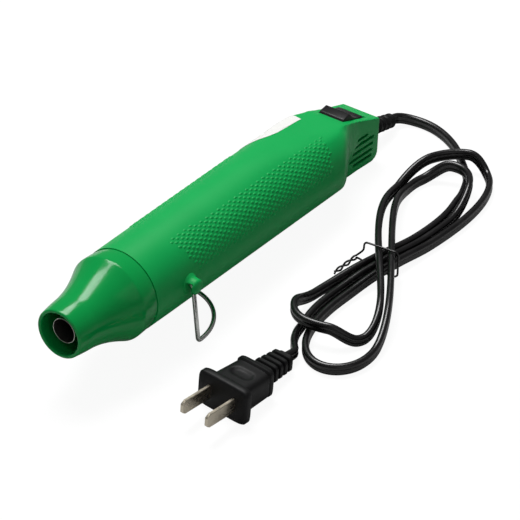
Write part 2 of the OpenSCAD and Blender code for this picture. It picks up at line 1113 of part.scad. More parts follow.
// A rounded corner at p, arriving along a and leaving along b
function bend(p, a, b) = [
    for (u = [0:0.25:1])
        p + stand_bend * (pow(u, 2) * b - pow(1 - u, 2) * a)
];
stand_half = concat(
    [for (a = [0:7.5:90]) [foot_mid + foot_radius * cos(a), foot_radius * sin(a), stand_r]],
    [stand_heel + [2.3, 0, 0]],
    bend(stand_heel, [-1, 0, 0], stand_leg),
    [stand_heel + 12 * stand_leg],
    bend(stand_hub, stand_leg, [0, -1, 0]),
    [[pivot_x, stand_pin_y, pivot_z], [pivot_x, stand_end_y, pivot_z]]
);
// The whole wire, from the near end to the far end
stand_route = concat(
    [
        for (i = [len(stand_half) - 1:-1:1])
            [stand_half[i][0], -stand_half[i][1], stand_half[i][2]]
    ],
    stand_half
);

module stand_bail() {
    color(steel)
        swept(stand_route, round_outline(stand_r, 16), carried(stand_route));
}

left_shell();
right_shell();
body_screws();
shroud();
outlet_tube();
mica_sleeve();
heater_former();
heating_coil();
thermal_fuse();
element_plate();
heater_leads();
fan_impeller();
motor_shaft();
armature();
commutator();
motor_can();
motor_magnets();
motor_cap();
motor_cradle();
circuit_board();
rectifier_diodes();
capacitor();
mains_leads();
rating_label();
stand_bail();
switch_body();
switch_terminals();
switch_rocker();
cord_clamp();
clamp_screws();
strain_relief();
cord_inner();
cord_lead();
cord_hank();
cord_tail();
plug_body();
plug_blades();
twist_tie();
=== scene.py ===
import logging
import math
from dataclasses import dataclass
from enum import Enum
from itertools import product
from typing import Iterable, Sequence

import bmesh
import bpy
import numpy as np
from mathutils import Matrix, Vector


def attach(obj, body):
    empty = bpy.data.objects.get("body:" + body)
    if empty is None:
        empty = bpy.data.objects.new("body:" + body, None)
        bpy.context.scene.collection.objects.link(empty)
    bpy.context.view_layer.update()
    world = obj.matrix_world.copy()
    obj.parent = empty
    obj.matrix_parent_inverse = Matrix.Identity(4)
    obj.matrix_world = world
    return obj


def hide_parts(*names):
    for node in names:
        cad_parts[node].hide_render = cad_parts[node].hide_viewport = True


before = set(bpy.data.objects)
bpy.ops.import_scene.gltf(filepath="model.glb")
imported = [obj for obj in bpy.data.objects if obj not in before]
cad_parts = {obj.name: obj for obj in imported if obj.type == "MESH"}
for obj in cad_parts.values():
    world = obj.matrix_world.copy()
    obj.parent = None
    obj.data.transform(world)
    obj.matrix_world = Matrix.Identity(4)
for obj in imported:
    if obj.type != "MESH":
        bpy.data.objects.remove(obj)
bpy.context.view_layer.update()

LOG = logging.getLogger("heat_tool")
MM = 0.001
MERGE = 1e-6
LAST_ROW = (0, 0, 0, 1)
WHITE = (1, 1, 1, 1)
FLOOR_GREY = (0.5, 0.5, 0.5, 1)
Point = Sequence[float]
Pair = tuple[float, float]
Colour = tuple[float, float, float, float]
Obj = bpy.types.Object
Material = bpy.types.Material

# The tool leans on its belly, nose up by PITCH. Stations run along its axis from the nozzle mouth, in mm,
# and CORD_Z is the cord hole's height over that axis. CORD_LOW is the middle of a cord lying on the floor.
PITCH = math.radians(3.5)
STAND_S = 60.3
BELLY_S = 179.0
TOOL_LENGTH = 213.0
REAR_RADIUS = 20.1
NOZZLE_Z = BELLY_S * math.sin(PITCH) + REAR_RADIUS * math.cos(PITCH)
MID_X = 106.11
CORD_Z = -6
CORD_WIDTH = 5.4
CORD_LOW = CORD_WIDTH / 2 + 0.05


# ---------------------------------------------------------------- helpers


def tool_point(s: float, y: float, z: float) -> np.ndarray:
    """Turns a point of the tool's own frame into the row frame.

    Args:
        s: station along the axis from the nozzle mouth, mm.
        y: sideways offset, mm.
        z: height over the axis, mm.

    Returns:
        The point in mm.
    """
    return np.array([
        s * math.cos(PITCH) + z * math.sin(PITCH) - MID_X,
        y,
        NOZZLE_Z - s * math.sin(PITCH) + z * math.cos(PITCH),
    ])


TOOL_AXIS = tool_point(1, 0, 0) - tool_point(0, 0, 0)


def tool_matrix() -> np.ndarray:
    """Returns the 4x4 matrix of the tool's own frame, in mm."""
    origin = tool_point(0, 0, 0)
    return np.vstack([
        np.column_stack([*(tool_point(*axis) - origin for axis in np.eye(3)), origin]),
        LAST_ROW,
    ])


def put(base: np.ndarray, x: float, y: float, z: float) -> np.ndarray:
    """Returns a local point carried by a 4x4 matrix, mm."""
    return (base @ np.array([x, y, z, 1.0]))[:3]


def polar(r: float, degrees: float) -> Pair:
    """Returns the flat point at a radius and an angle."""
    a = math.radians(degrees)
    return (r * math.cos(a), r * math.sin(a))


def ease(x: float) -> float:
    """Half a cosine wave from 0 to 1."""
    return (1 - math.cos(math.pi * x)) / 2


def clamp01(x: float) -> float:
    """Holds x between 0 and 1."""
    return max(0.0, min(1.0, x))


def unit(v: Point) -> np.ndarray:
    """Returns v at length 1."""
    a = np.asarray(v, float)
    return a / np.linalg.norm(a)


def smooth_min(a: float, b: float, k: float) -> float:
    """Least of a and b, rounded over a width k."""
    h = max(k - abs(a - b), 0.0) / k
    return min(a, b) - h * h * k / 4


def smooth_max(a: float, b: float, k: float) -> float:
    """Greatest of a and b, rounded over a width k."""
    return -smooth_min(-a, -b, k)


def linear(red: int, green: int, blue: int) -> Colour:
    """Turns an sRGB colour of 0 to 255 into a linear one, with alpha 1."""
    parts = [c / 255 for c in (red, green, blue)]
    return (*(x / 12.92 if x <= 0.04045 else ((x + 0.055) / 1.055) ** 2.4 for x in parts), 1.0)


def shift(colour: Colour, gain: float, lift: float = 0.0) -> Colour:
    """Returns a colour scaled by gain and raised by lift."""
    return (*(min(1.0, c * gain + lift) for c in colour[:3]), 1.0)


def mesh_object(name: str, points: Iterable[Point], faces: Iterable[Sequence[int]], smooth: bool = True,
                sharp: float = 35.0) -> Obj:
    """Makes a mesh object at the origin from points in mm.

    Args:
        name: the object's name.
        points: vertex positions in the row frame, mm.
        faces: vertex indices of each face.
        smooth: whether faces are shaded smooth.
        sharp: angle over which an edge stays sharp, degrees.

    Returns:
        The object, linked to the scene.
    """
    mesh = bpy.data.meshes.new(name)
    mesh.from_pydata([tuple(float(c) * MM for c in p) for p in points], [], [tuple(f) for f in faces])
    mesh.validate()
    obj = bpy.data.objects.new(name, mesh)
    bpy.context.scene.collection.objects.link(obj)
    if smooth:
        shade(obj, sharp)
    return obj


def shade(obj: Obj, sharp: float = 35.0) -> None:
    """Shades a mesh smooth, with its edges over an angle kept sharp."""
    obj.data.shade_smooth()
    obj.data.set_sharp_from_angle(angle=math.radians(sharp))


def settled(obj: Obj) -> Obj:
    """Turns an object's modifiers into its plain mesh.

    Args:
        obj: the object.

    Returns:
        The same object, without modifiers.
    """
    graph = bpy.context.evaluated_depsgraph_get()
    mesh = bpy.data.meshes.new_from_object(obj.evaluated_get(graph))
    old = obj.data
    obj.modifiers.clear()
    obj.data = mesh
    if old.users == 0:
        bpy.data.meshes.remove(old)
    return obj


def tidy_normals(obj: Obj) -> None:
    """Merges doubles and points the faces outward.

    Args:
        obj: the object.
    """
    bm = bmesh.new()
    bm.from_mesh(obj.data)
    bmesh.ops.remove_doubles(bm, verts=bm.verts, dist=MERGE)
    bmesh.ops.recalc_face_normals(bm, faces=bm.faces)
    bm.to_mesh(obj.data)
    bm.free()


def grid_faces(rings: int, count: int, closed: bool = True) -> list[tuple[int, ...]]:
    """Joins consecutive rings of points with four-sided faces.

    Args:
        rings: how many rings there are.
        count: points on each ring.
        closed: whether a ring's last point joins its first.

    Returns:
        The vertex indices of each face.
    """
    width = count if closed else count - 1
    return [
        (i * count + j, i * count + (j + 1) % count, (i + 1) * count + (j + 1) % count, (i + 1) * count + j)
        for i in range(rings - 1) for j in range(width)
    ]


def loft(name: str, rings: Sequence[Sequence[Point]], sharp: float = 35.0) -> Obj:
    """Skins closed rings of equal count, with flat end caps.

    Args:
        name: the object's name.
        rings: closed rings of points, mm.
        sharp: angle over which an edge stays sharp, degrees.

    Returns:
        The closed object.
    """
    count = len(rings[0])
    last = (len(rings) - 1) * count
    faces = grid_faces(len(rings), count)
    faces += [tuple(range(count - 1, -1, -1)), tuple(range(last, last + count))]
    obj = mesh_object(name, [p for ring in rings for p in ring], faces)
    tidy_normals(obj)
    shade(obj, sharp)
    return obj


def lathe(name: str, profile: Sequence[Pair], base: np.ndarray, closed: bool = True, segments: int = 96,
          sharp: float = 32.0) -> Obj:
    """Turns a profile of (distance along, radius) about a frame's first axis.

    Args:
        name: the object's name.
        profile: points as (distance along the axis, radius), mm.
        base: 4x4 matrix whose first column is the axis, mm.
        closed: whether the profile is a closed loop.
        segments: facets round the axis.
        sharp: angle over which an edge stays sharp, degrees.

    Returns:
        The turned object.
    """
    count = len(profile)
    turns = [2 * math.pi * k / segments for k in range(segments)]
    points = [put(base, along, r * math.cos(a), r * math.sin(a)) for a in turns for along, r in profile]
    faces = []
    for k, j in product(range(segments), range(count if closed else count - 1)):
        here, ahead, i = k * count, (k + 1) % segments * count, (j + 1) % count
        faces.append((here + j, here + i, ahead + i, ahead + j))
    obj = mesh_object(name, points, faces)
    tidy_normals(obj)
    shade(obj, sharp)
    return obj


def tilted(degrees: float, x: float, z: float) -> np.ndarray:
    """Returns a 4x4 frame at (x, 0, z) whose first axis tips down by an angle, in mm."""
    c, s = polar(1, degrees)
    return np.array([[c, 0, s, x], [0, 1, 0, 0], [-s, 0, c, z], LAST_ROW])


def frame_along(origin: Point, direction: Point, up: Point = (0, 0, 1)) -> np.ndarray:
    """Returns a 4x4 frame with its first axis along direction and its second square to up, in mm."""
    x, y = unit(direction), unit(np.cross(up, unit(direction)))
    return np.vstack([np.column_stack([x, y, np.cross(x, y), origin]), LAST_ROW])


def headings(path: np.ndarray) -> np.ndarray:
    """Returns the unit direction at each point of a path."""
    d = np.vstack([path[1:], path[-1:]]) - np.vstack([path[:1], path[:-1]])
    return d / np.linalg.norm(d, axis=1)[:, None]


def sweep(name: str, path: np.ndarray, outline: Sequence[Pair], upright: bool, sharp: float = 40.0) -> Obj:
    """Carries an outline along a path.

    Args:
        name: the object's name.
        path: route points in mm.
        outline: section points as (sideways, upward), mm.
        upright: whether the section stays upright, or is carried without twist.
        sharp: angle over which an edge stays sharp, degrees.

    Returns:
        The swept tube with closed ends.
    """
    t = headings(path)
    side = unit(np.cross([0, 0, 1] if upright else [0.3, 0.5, 1], t[0]))
    rings = []
    for p, d in zip(path, t):
        side = unit(np.cross([0, 0, 1], d)) if upright else unit(side - (side @ d) * d)
        up = np.cross(d, side)
        rings.append([p + a * side + b * up for a, b in outline])
    return loft(name, rings, sharp)


def smooth_route(points: Sequence[Point], step: float) -> np.ndarray:
    """Runs a Catmull-Rom curve through points.

    Args:
        points: the points, mm.
        step: about how far apart the samples are, mm.

    Returns:
        The samples, mm.
    """
    p = np.asarray(points, float)
    p = np.vstack([2 * p[0] - p[1], p, 2 * p[-1] - p[-2]])
    out = []
    for i in range(1, len(p) - 2):
        n = max(2, int(round(np.linalg.norm(p[i + 1] - p[i]) / step)))
        for k in range(n):
            u = k / n
            out.append(0.5 * (
                2 * p[i] + (p[i + 1] - p[i - 1]) * u
                + (2 * p[i - 1] - 5 * p[i] + 4 * p[i + 1] - p[i + 2]) * u ** 2
                + (3 * p[i] - p[i - 1] - 3 * p[i + 1] + p[i + 2]) * u ** 3
            ))
    out.append(p[-2])
    return np.array(out)


def round_outline(r: float, n: int) -> list[Pair]:
    """Returns n points on a circle."""
    turns = [2 * math.pi * i / n for i in range(n)]
    return [(r * math.cos(a), r * math.sin(a)) for a in turns]


def dress(obj: Obj, material: Material) -> Obj:
    """Gives a piece one material.

    Args:
        obj: the object.
        material: the material.

    Returns:
        The same object.
    """
    obj.data.materials.clear()
    obj.data.materials.append(material)
    return obj


def cut(obj: Obj, cutters: Sequence[Obj]) -> Obj:
    """Cuts pieces out of a mesh and removes the cutters.

    Args:
        obj: the object.
        cutters: the pieces to cut out.

    Returns:
        The same object.
    """
    for cutter in cutters:
        modifier = obj.modifiers.new("cut", "BOOLEAN")
        modifier.operation = "DIFFERENCE"
        modifier.solver = "EXACT"
        modifier.object = cutter
    settled(obj)
    for cutter in cutters:
        bpy.data.objects.remove(cutter)
    return obj


def join(name: str, parts: Sequence[Obj]) -> Obj:
    """Joins meshes into one and removes the parts.

    Args:
        name: the object's name.
        parts: the parts, dressed or not.

    Returns:
        The joined object.
    """
    bm = bmesh.new()
    slots: list[Material] = []
    for part in parts:
        start = len(bm.faces)
        bm.from_mesh(part.data)
        bm.faces.ensure_lookup_table()
        for face in bm.faces[start:]:
            own = part.data.materials
            if len(own):
                material = own[min(face.material_index, len(own) - 1)]
                if material not in slots:
                    slots.append(material)
                face.material_index = slots.index(material)
    mesh = bpy.data.meshes.new(name)
    bm.to_mesh(mesh)
    bm.free()
    for material in slots:
        mesh.materials.append(material)
    for part in parts:
        bpy.data.objects.remove(part)
    obj = bpy.data.objects.new(name, mesh)
    bpy.context.scene.collection.objects.link(obj)
    return obj


# ---------------------------------------------------------------- shader


class Wire:
    """A shader value that can be used in Python expressions."""

    def __init__(self, tree: bpy.types.NodeTree, socket: bpy.types.NodeSocket) -> None:
        """Keeps the tree and the output socket."""
        self.tree = tree
        self.socket = socket

    def _math(self, operation: str, *values: "Wire | float") -> "Wire":
        """Adds one Math node."""
        node = add_node(self.tree, "ShaderNodeMath", {"operation": operation}, dict(enumerate(values)))
        return Wire(self.tree, node.outputs[0])

    def __add__(self, other: "Wire | float") -> "Wire":
        """Sum."""
        return self._math("ADD", self, other)

    __radd__ = __add__

    def __sub__(self, other: "Wire | float") -> "Wire":
        """Difference."""
        return self._math("SUBTRACT", self, other)

    def __mul__(self, other: "Wire | float") -> "Wire":
        """Product."""
        return self._math("MULTIPLY", self, other)

    def held(self) -> "Wire":
        """Holds the value between 0 and 1."""
        return self._math("MINIMUM", self._math("MAXIMUM", self, 0.0), 1.0)


def add_node(tree: bpy.types.NodeTree, kind: str, settings: dict | None = None,
             inputs: dict | None = None) -> bpy.types.Node:
    """Adds a node to a tree, sets its settings, then its sockets.

    Args:
        tree: the tree that gets the node.
        kind: the node's type name.
        settings: attributes of the node.
        inputs: socket names or numbers to values, sockets or wires.

    Returns:
        The node.
    """
    node = tree.nodes.new(kind)
    for key, value in (settings or {}).items():
        setattr(node, key, value)
    for key, value in (inputs or {}).items():
        source = value.socket if isinstance(value, Wire) else value
        if isinstance(source, bpy.types.NodeSocket):
            tree.links.new(source, node.inputs[key])
        else:
            node.inputs[key].default_value = source
    return node


class Bench:
    """Builds one material's nodes."""

    def __init__(self, name: str) -> None:
        """Starts an empty material.

        Args:
            name: the material's name.
        """
        self.material = bpy.data.materials.new(name)
        self.material.use_nodes = True
        self.tree = self.material.node_tree
        self.tree.nodes.clear()

    def node(self, kind: str, settings: dict | None = None, inputs: dict | None = None) -> bpy.types.Node:
        """Adds a node to the material, as add_node does."""
        return add_node(self.tree, kind, settings, inputs)

    def place(self) -> bpy.types.NodeSocket:
        """Returns the Object coordinates."""
        return self.node("ShaderNodeTexCoord").outputs["Object"]

    def noise(self, scale: float, detail: float, stretch: Point = (1, 1, 1)) -> Wire:
        """Makes noise.

        Args:
            scale: cells per metre.
            detail: how many finer layers are added.
            stretch: scale on each axis.

        Returns:
            The noise, 0 to 1.
        """
        mapping = self.node("ShaderNodeMapping", {}, {"Vector": self.place(), "Scale": tuple(stretch)})
        noise = self.node("ShaderNodeTexNoise", {}, {
            "Vector": mapping.outputs[0], "Scale": scale, "Detail": detail,
        })
        return Wire(self.tree, noise.outputs["Fac"])

    def axis(self, index: int) -> Wire:
        """Returns one Object coordinate, in metres."""
        split = self.node("ShaderNodeSeparateXYZ", {}, {0: self.place()})
        return Wire(self.tree, split.outputs[index])

    def blend(self, factor: Wire, first: object, second: object) -> bpy.types.NodeSocket:
        """Mixes two colours."""
        node = self.node("ShaderNodeMix", {"data_type": "RGBA"}, {0: factor, 6: first, 7: second})
        return node.outputs[2]

    def bump(self, height: Wire, depth: float) -> bpy.types.NodeSocket:
        """Turns a height into a normal; depth is in metres."""
        return self.node("ShaderNodeBump", {}, {
            "Height": height, "Distance": depth, "Strength": 1.0,
        }).outputs[0]

    def close(self, inputs: dict) -> Material:
        """Ends the material in a Principled shader with these inputs."""
        self.node("ShaderNodeOutputMaterial", {}, {
            0: self.node("ShaderNodeBsdfPrincipled", {}, inputs).outputs[0],
        })
        return self.material


class Grain(Enum):
    """How a moulded surface is textured."""

    SMOOTH = 0.000004
    SATIN = 0.000011
    SPARK = 0.00003


@dataclass(frozen=True)
class MouldedPlastic:
    """Injection-moulded plastic with a slight colour drift and a fine grain."""

    name: str
    colour: Colour
    roughness: float
    grain: Grain
    coat: float = 0.0
    drift: float = 0.12

    def material(self) -> Material:
        """Builds the material.

        Returns:
            The material.
        """
        b = Bench(self.name)
        cloud = b.noise(45.0, 3.0)
        fine = b.noise(2600.0 if self.grain is not Grain.SMOOTH else 420.0, 2.0)
        scuff = b.noise(900.0, 4.0, (1.0, 0.2, 0.2))
        deep, pale = shift(self.colour, 1 - self.drift), shift(self.colour, 1 + self.drift, 0.004)
        return b.close({
            "Base Color": b.blend(cloud, deep, pale),
            "Roughness": (self.roughness + (cloud - 0.5) * 0.10 + (scuff - 0.5) * 0.10).held(),
            "Normal": b.bump(fine, self.grain.value),
            "IOR": 1.3,
            "Coat Weight": self.coat,
            "Coat Roughness": 0.06,
        })


@dataclass(frozen=True)
class CordVinyl:
    """Soft black vinyl with a waxy sheen, fine ripples and dust."""

    name: str
    colour: Colour
    roughness: float = 0.34
    coat: float = 0.25
    ior: float = 1.42

    def material(self) -> Material:
        """Builds the material.

        Returns:
            The material.
        """
        b = Bench(self.name)
        wear = b.noise(120.0, 4.0)
        ripple = b.noise(700.0, 2.0)
        dusty = shift(self.colour, 1.6, 0.002)
        return b.close({
            "Base Color": b.blend((wear * 1.6 - 0.5).held(), self.colour, dusty),
            "Roughness": (self.roughness + (wear - 0.5) * 0.25).held(),
            "Normal": b.bump(ripple, 0.00003),
            "IOR": self.ior,
            "Coat Weight": self.coat,
            "Coat Roughness": 0.12,
        })


@dataclass(frozen=True)
class DrawnMetal:
    """Drawn, turned or plated metal with fine drawing lines and spots."""

    name: str
    colour: Colour
    roughness: float = 0.28
    lines: Point = (1.0, 1.0, 1.0)
    tint: Colour | None = None
    tint_from: float = 0.0
    tint_to: float = 0.0

    def material(self) -> Material:
        """Builds the material.

        Returns:
            The material.
        """
        b = Bench(self.name)
        streak = b.noise(1500.0, 3.0, self.lines)
        spot = b.noise(160.0, 4.0)
        base = b.blend(spot, shift(self.colour, 0.8), self.colour)
        if self.tint is not None:
            along = (b.axis(0) - self.tint_from) * (1 / (self.tint_to - self.tint_from))
            base = b.blend((along + (spot - 0.5) * 0.4).held(), base, self.tint)
        return b.close({
            "Base Color": base,
            "Metallic": 1.0,
            "Roughness": (self.roughness + (streak - 0.5) * 0.22 + (spot - 0.5) * 0.12).held(),
            "Normal": b.bump(streak, 0.000012),
        })


@dataclass(frozen=True)
class Speckled:
    """Mica, ceramic, board and label stock: a mottled matt surface."""

    name: str
    colour: Colour
    second: Colour
    scale: float = 300.0
    roughness: float = 0.6
    depth: float = 0.00002

    def material(self) -> Material:
        """Builds the material.

        Returns:
            The material.
        """
        b = Bench(self.name)
        mottle = b.noise(self.scale, 5.0)
        return b.close({
            "Base Color": b.blend((mottle * 2.0 - 0.5).held(), self.colour, self.second),
            "Roughness": (self.roughness + (mottle - 0.5) * 0.3).held(),
            "Normal": b.bump(mottle, self.depth),
        })


class Finishes:
    """Every material of the tool, made once."""

    def __init__(self) -> None:
        """Builds the materials."""
        vinyl, steel = linear(12, 12, 13), linear(205, 202, 196)
        self.handle = MouldedPlastic(
            "handle_green", linear(0, 163, 78), 0.46, Grain.SATIN, 0.0, 0.07,
        ).material()
        self.shroud = MouldedPlastic(
            "shroud_green", linear(0, 150, 69), 0.17, Grain.SMOOTH, 0.05, 0.06,
        ).material()
        self.black = MouldedPlastic("rocker_black", vinyl, 0.38, Grain.SATIN).material()
        self.dull_black = MouldedPlastic("inner_black", linear(24, 24, 25), 0.55, Grain.SPARK).material()
        self.nylon = MouldedPlastic("natural_nylon", linear(214, 210, 198), 0.42, Grain.SATIN).material()
        self.cord = CordVinyl("cord_vinyl", linear(13, 12, 13), 0.3, 0.2).material()
        self.plug = CordVinyl("plug_vinyl", vinyl, 0.5, 0.0, 1.3).material()
        self.wire = DrawnMetal("stand_wire_steel", linear(226, 226, 223), 0.24, (1, 1, 0.15)).material()
        heated = linear(120, 96, 70)
        self.tube = DrawnMetal("outlet_steel", steel, 0.24, (1, 0.2, 0.2), heated, -0.098, -0.075).material()
        # Near-black mottled steel: painted shade for the outlet tube's inner wall.
        self.tube_shade = Speckled("steel_painted_shade", linear(20, 18, 17), linear(34, 29, 25), 500.0).material()
        self.screw = DrawnMetal("screw_steel", linear(190, 190, 190), 0.3).material()
        self.blade = DrawnMetal("blade_nickel", linear(226, 216, 196), 0.3, (0.2, 1, 1)).material()
        self.copper = DrawnMetal("lead_copper", linear(184, 104, 62), 0.35).material()
        self.mica = Speckled("mica_board", linear(190, 172, 132), linear(150, 128, 92), 400.0).material()
        self.ceramic = Speckled(
            "ceramic_plate", linear(226, 220, 206), linear(205, 198, 184), 700.0, 0.7,
        ).material()
        self.board = Speckled("circuit_green", linear(30, 96, 62), linear(22, 76, 50), 500.0, 0.45).material()
        paper, fibre = linear(236, 236, 233), linear(229, 229, 226)
        self.label = Speckled("label_stock", paper, fibre, 90.0, 0.42, 0.000004).material()


# ---------------------------------------------------------------- studio


@dataclass
class Studio:
    """Camera, lamps, floor and background."""

    eye: tuple[float, float, float] = (-656.6, -497.1, 620.9)
    right: tuple[float, float, float] = (0.5872, -0.8094, 0.0)
    up: tuple[float, float, float] = (0.4857, 0.3524, 0.7999)
    lens: float = 166.44
    sensor: float = 36.0
    clip: Pair = (0.05, 20.0)
    sky: float = 0.16
    floor_size: float = 6000.0
    glow: float = 1.16
    glow_share: float = 0.8

    # Each lamp's name, place, aim and sides in metres, and power in watts.
    LAMPS = (
        ("key", (0.2, 0.3, 0.92), (0, 0, 0), (0.6, 0.38), 10.5),
        ("strip", (-0.45, 0.1, 0.8), (-0.05, 0, 0.03), (0.9, 0.02), 0.3),
        ("fill", (-0.5, -0.9, 0.6), (0, 0, 0.02), (0.8, 0.8), 0.8),
    )

    def build(self) -> None:
        """Makes the camera first, then the lights and the floor."""
        self.camera()
        self.lamps()
        self.floor()
        bpy.context.scene.view_settings.view_transform = "Standard"

    def camera(self) -> None:
        """Sets the camera at the photograph's viewing angle."""
        data = bpy.data.cameras.new("camera")
        data.lens = self.lens
        data.sensor_width = self.sensor
        data.sensor_fit = "HORIZONTAL"
        data.clip_start, data.clip_end = self.clip
        obj = bpy.data.objects.new("camera", data)
        bpy.context.scene.collection.objects.link(obj)
        x, y = Vector(self.right).normalized(), Vector(self.up).normalized()
        z = x.cross(y)
        turn = Matrix((x, y, z)).transposed().to_4x4()
        obj.matrix_world = Matrix.Translation(Vector(self.eye) * MM) @ turn
        bpy.context.scene.camera = obj

    def lamp(self, name: str, place: Point, aim: Point, size: Pair, power: float) -> None:
        """Adds one soft rectangular lamp.

        Args:
            name: the lamp's name.
            place: where it stands, m.
            aim: the point that it faces, m.
            size: its two sides, m.
            power: its power, W.
        """
        data = bpy.data.lights.new(name, "AREA")
        data.shape = "RECTANGLE"
        data.size, data.size_y = size
        data.energy = power
        obj = bpy.data.objects.new(name, data)
        obj.location = place
        obj.rotation_euler = (Vector(aim) - Vector(place)).to_track_quat("-Z", "Y").to_euler()
        bpy.context.scene.collection.objects.link(obj)

    def lamps(self) -> None:
        """Adds the key overhead, the strip for the long highlight, the fill and the sky."""
        for lamp in self.LAMPS:
            self.lamp(*lamp)
        world = bpy.data.worlds.new("studio")
        bpy.context.scene.world = world
        world.use_nodes = True
        tree = world.node_tree
        tree.nodes.clear()
        seen = Wire(tree, add_node(tree, "ShaderNodeLightPath").outputs["Is Camera Ray"])
        strength = seen * (1 - self.sky) + self.sky
        background = add_node(tree, "ShaderNodeBackground", {}, {"Color": WHITE, "Strength": strength})
        add_node(tree, "ShaderNodeOutputWorld", {}, {0: background.outputs[0]})

    def floor(self) -> None:
        """Lays the floor, which the camera sees nearly white, with the object's shadow."""
        size = self.floor_size
        corners = [(-size, -size, 0), (size, -size, 0), (size, size, 0), (-size, size, 0)]
        floor = mesh_object("floor", corners, [(0, 1, 2, 3)], False)
        b = Bench("floor_white")
        seen = Wire(b.tree, b.node("ShaderNodeLightPath").outputs["Is Camera Ray"])
        cloud = b.noise(3.0, 2.0)
        diffuse = b.node("ShaderNodeBsdfDiffuse", {}, {"Color": FLOOR_GREY})
        glow = b.node("ShaderNodeEmission", {}, {"Color": WHITE, "Strength": self.glow})
        mixer = b.node("ShaderNodeMixShader", {}, {
            0: seen * self.glow_share + (cloud - 0.5) * 0.001, 1: diffuse.outputs[0], 2: glow.outputs[0],
        })
        b.node("ShaderNodeOutputMaterial", {}, {0: mixer.outputs[0]})
        dress(floor, b.material)


# ---------------------------------------------------------------- cord and plug


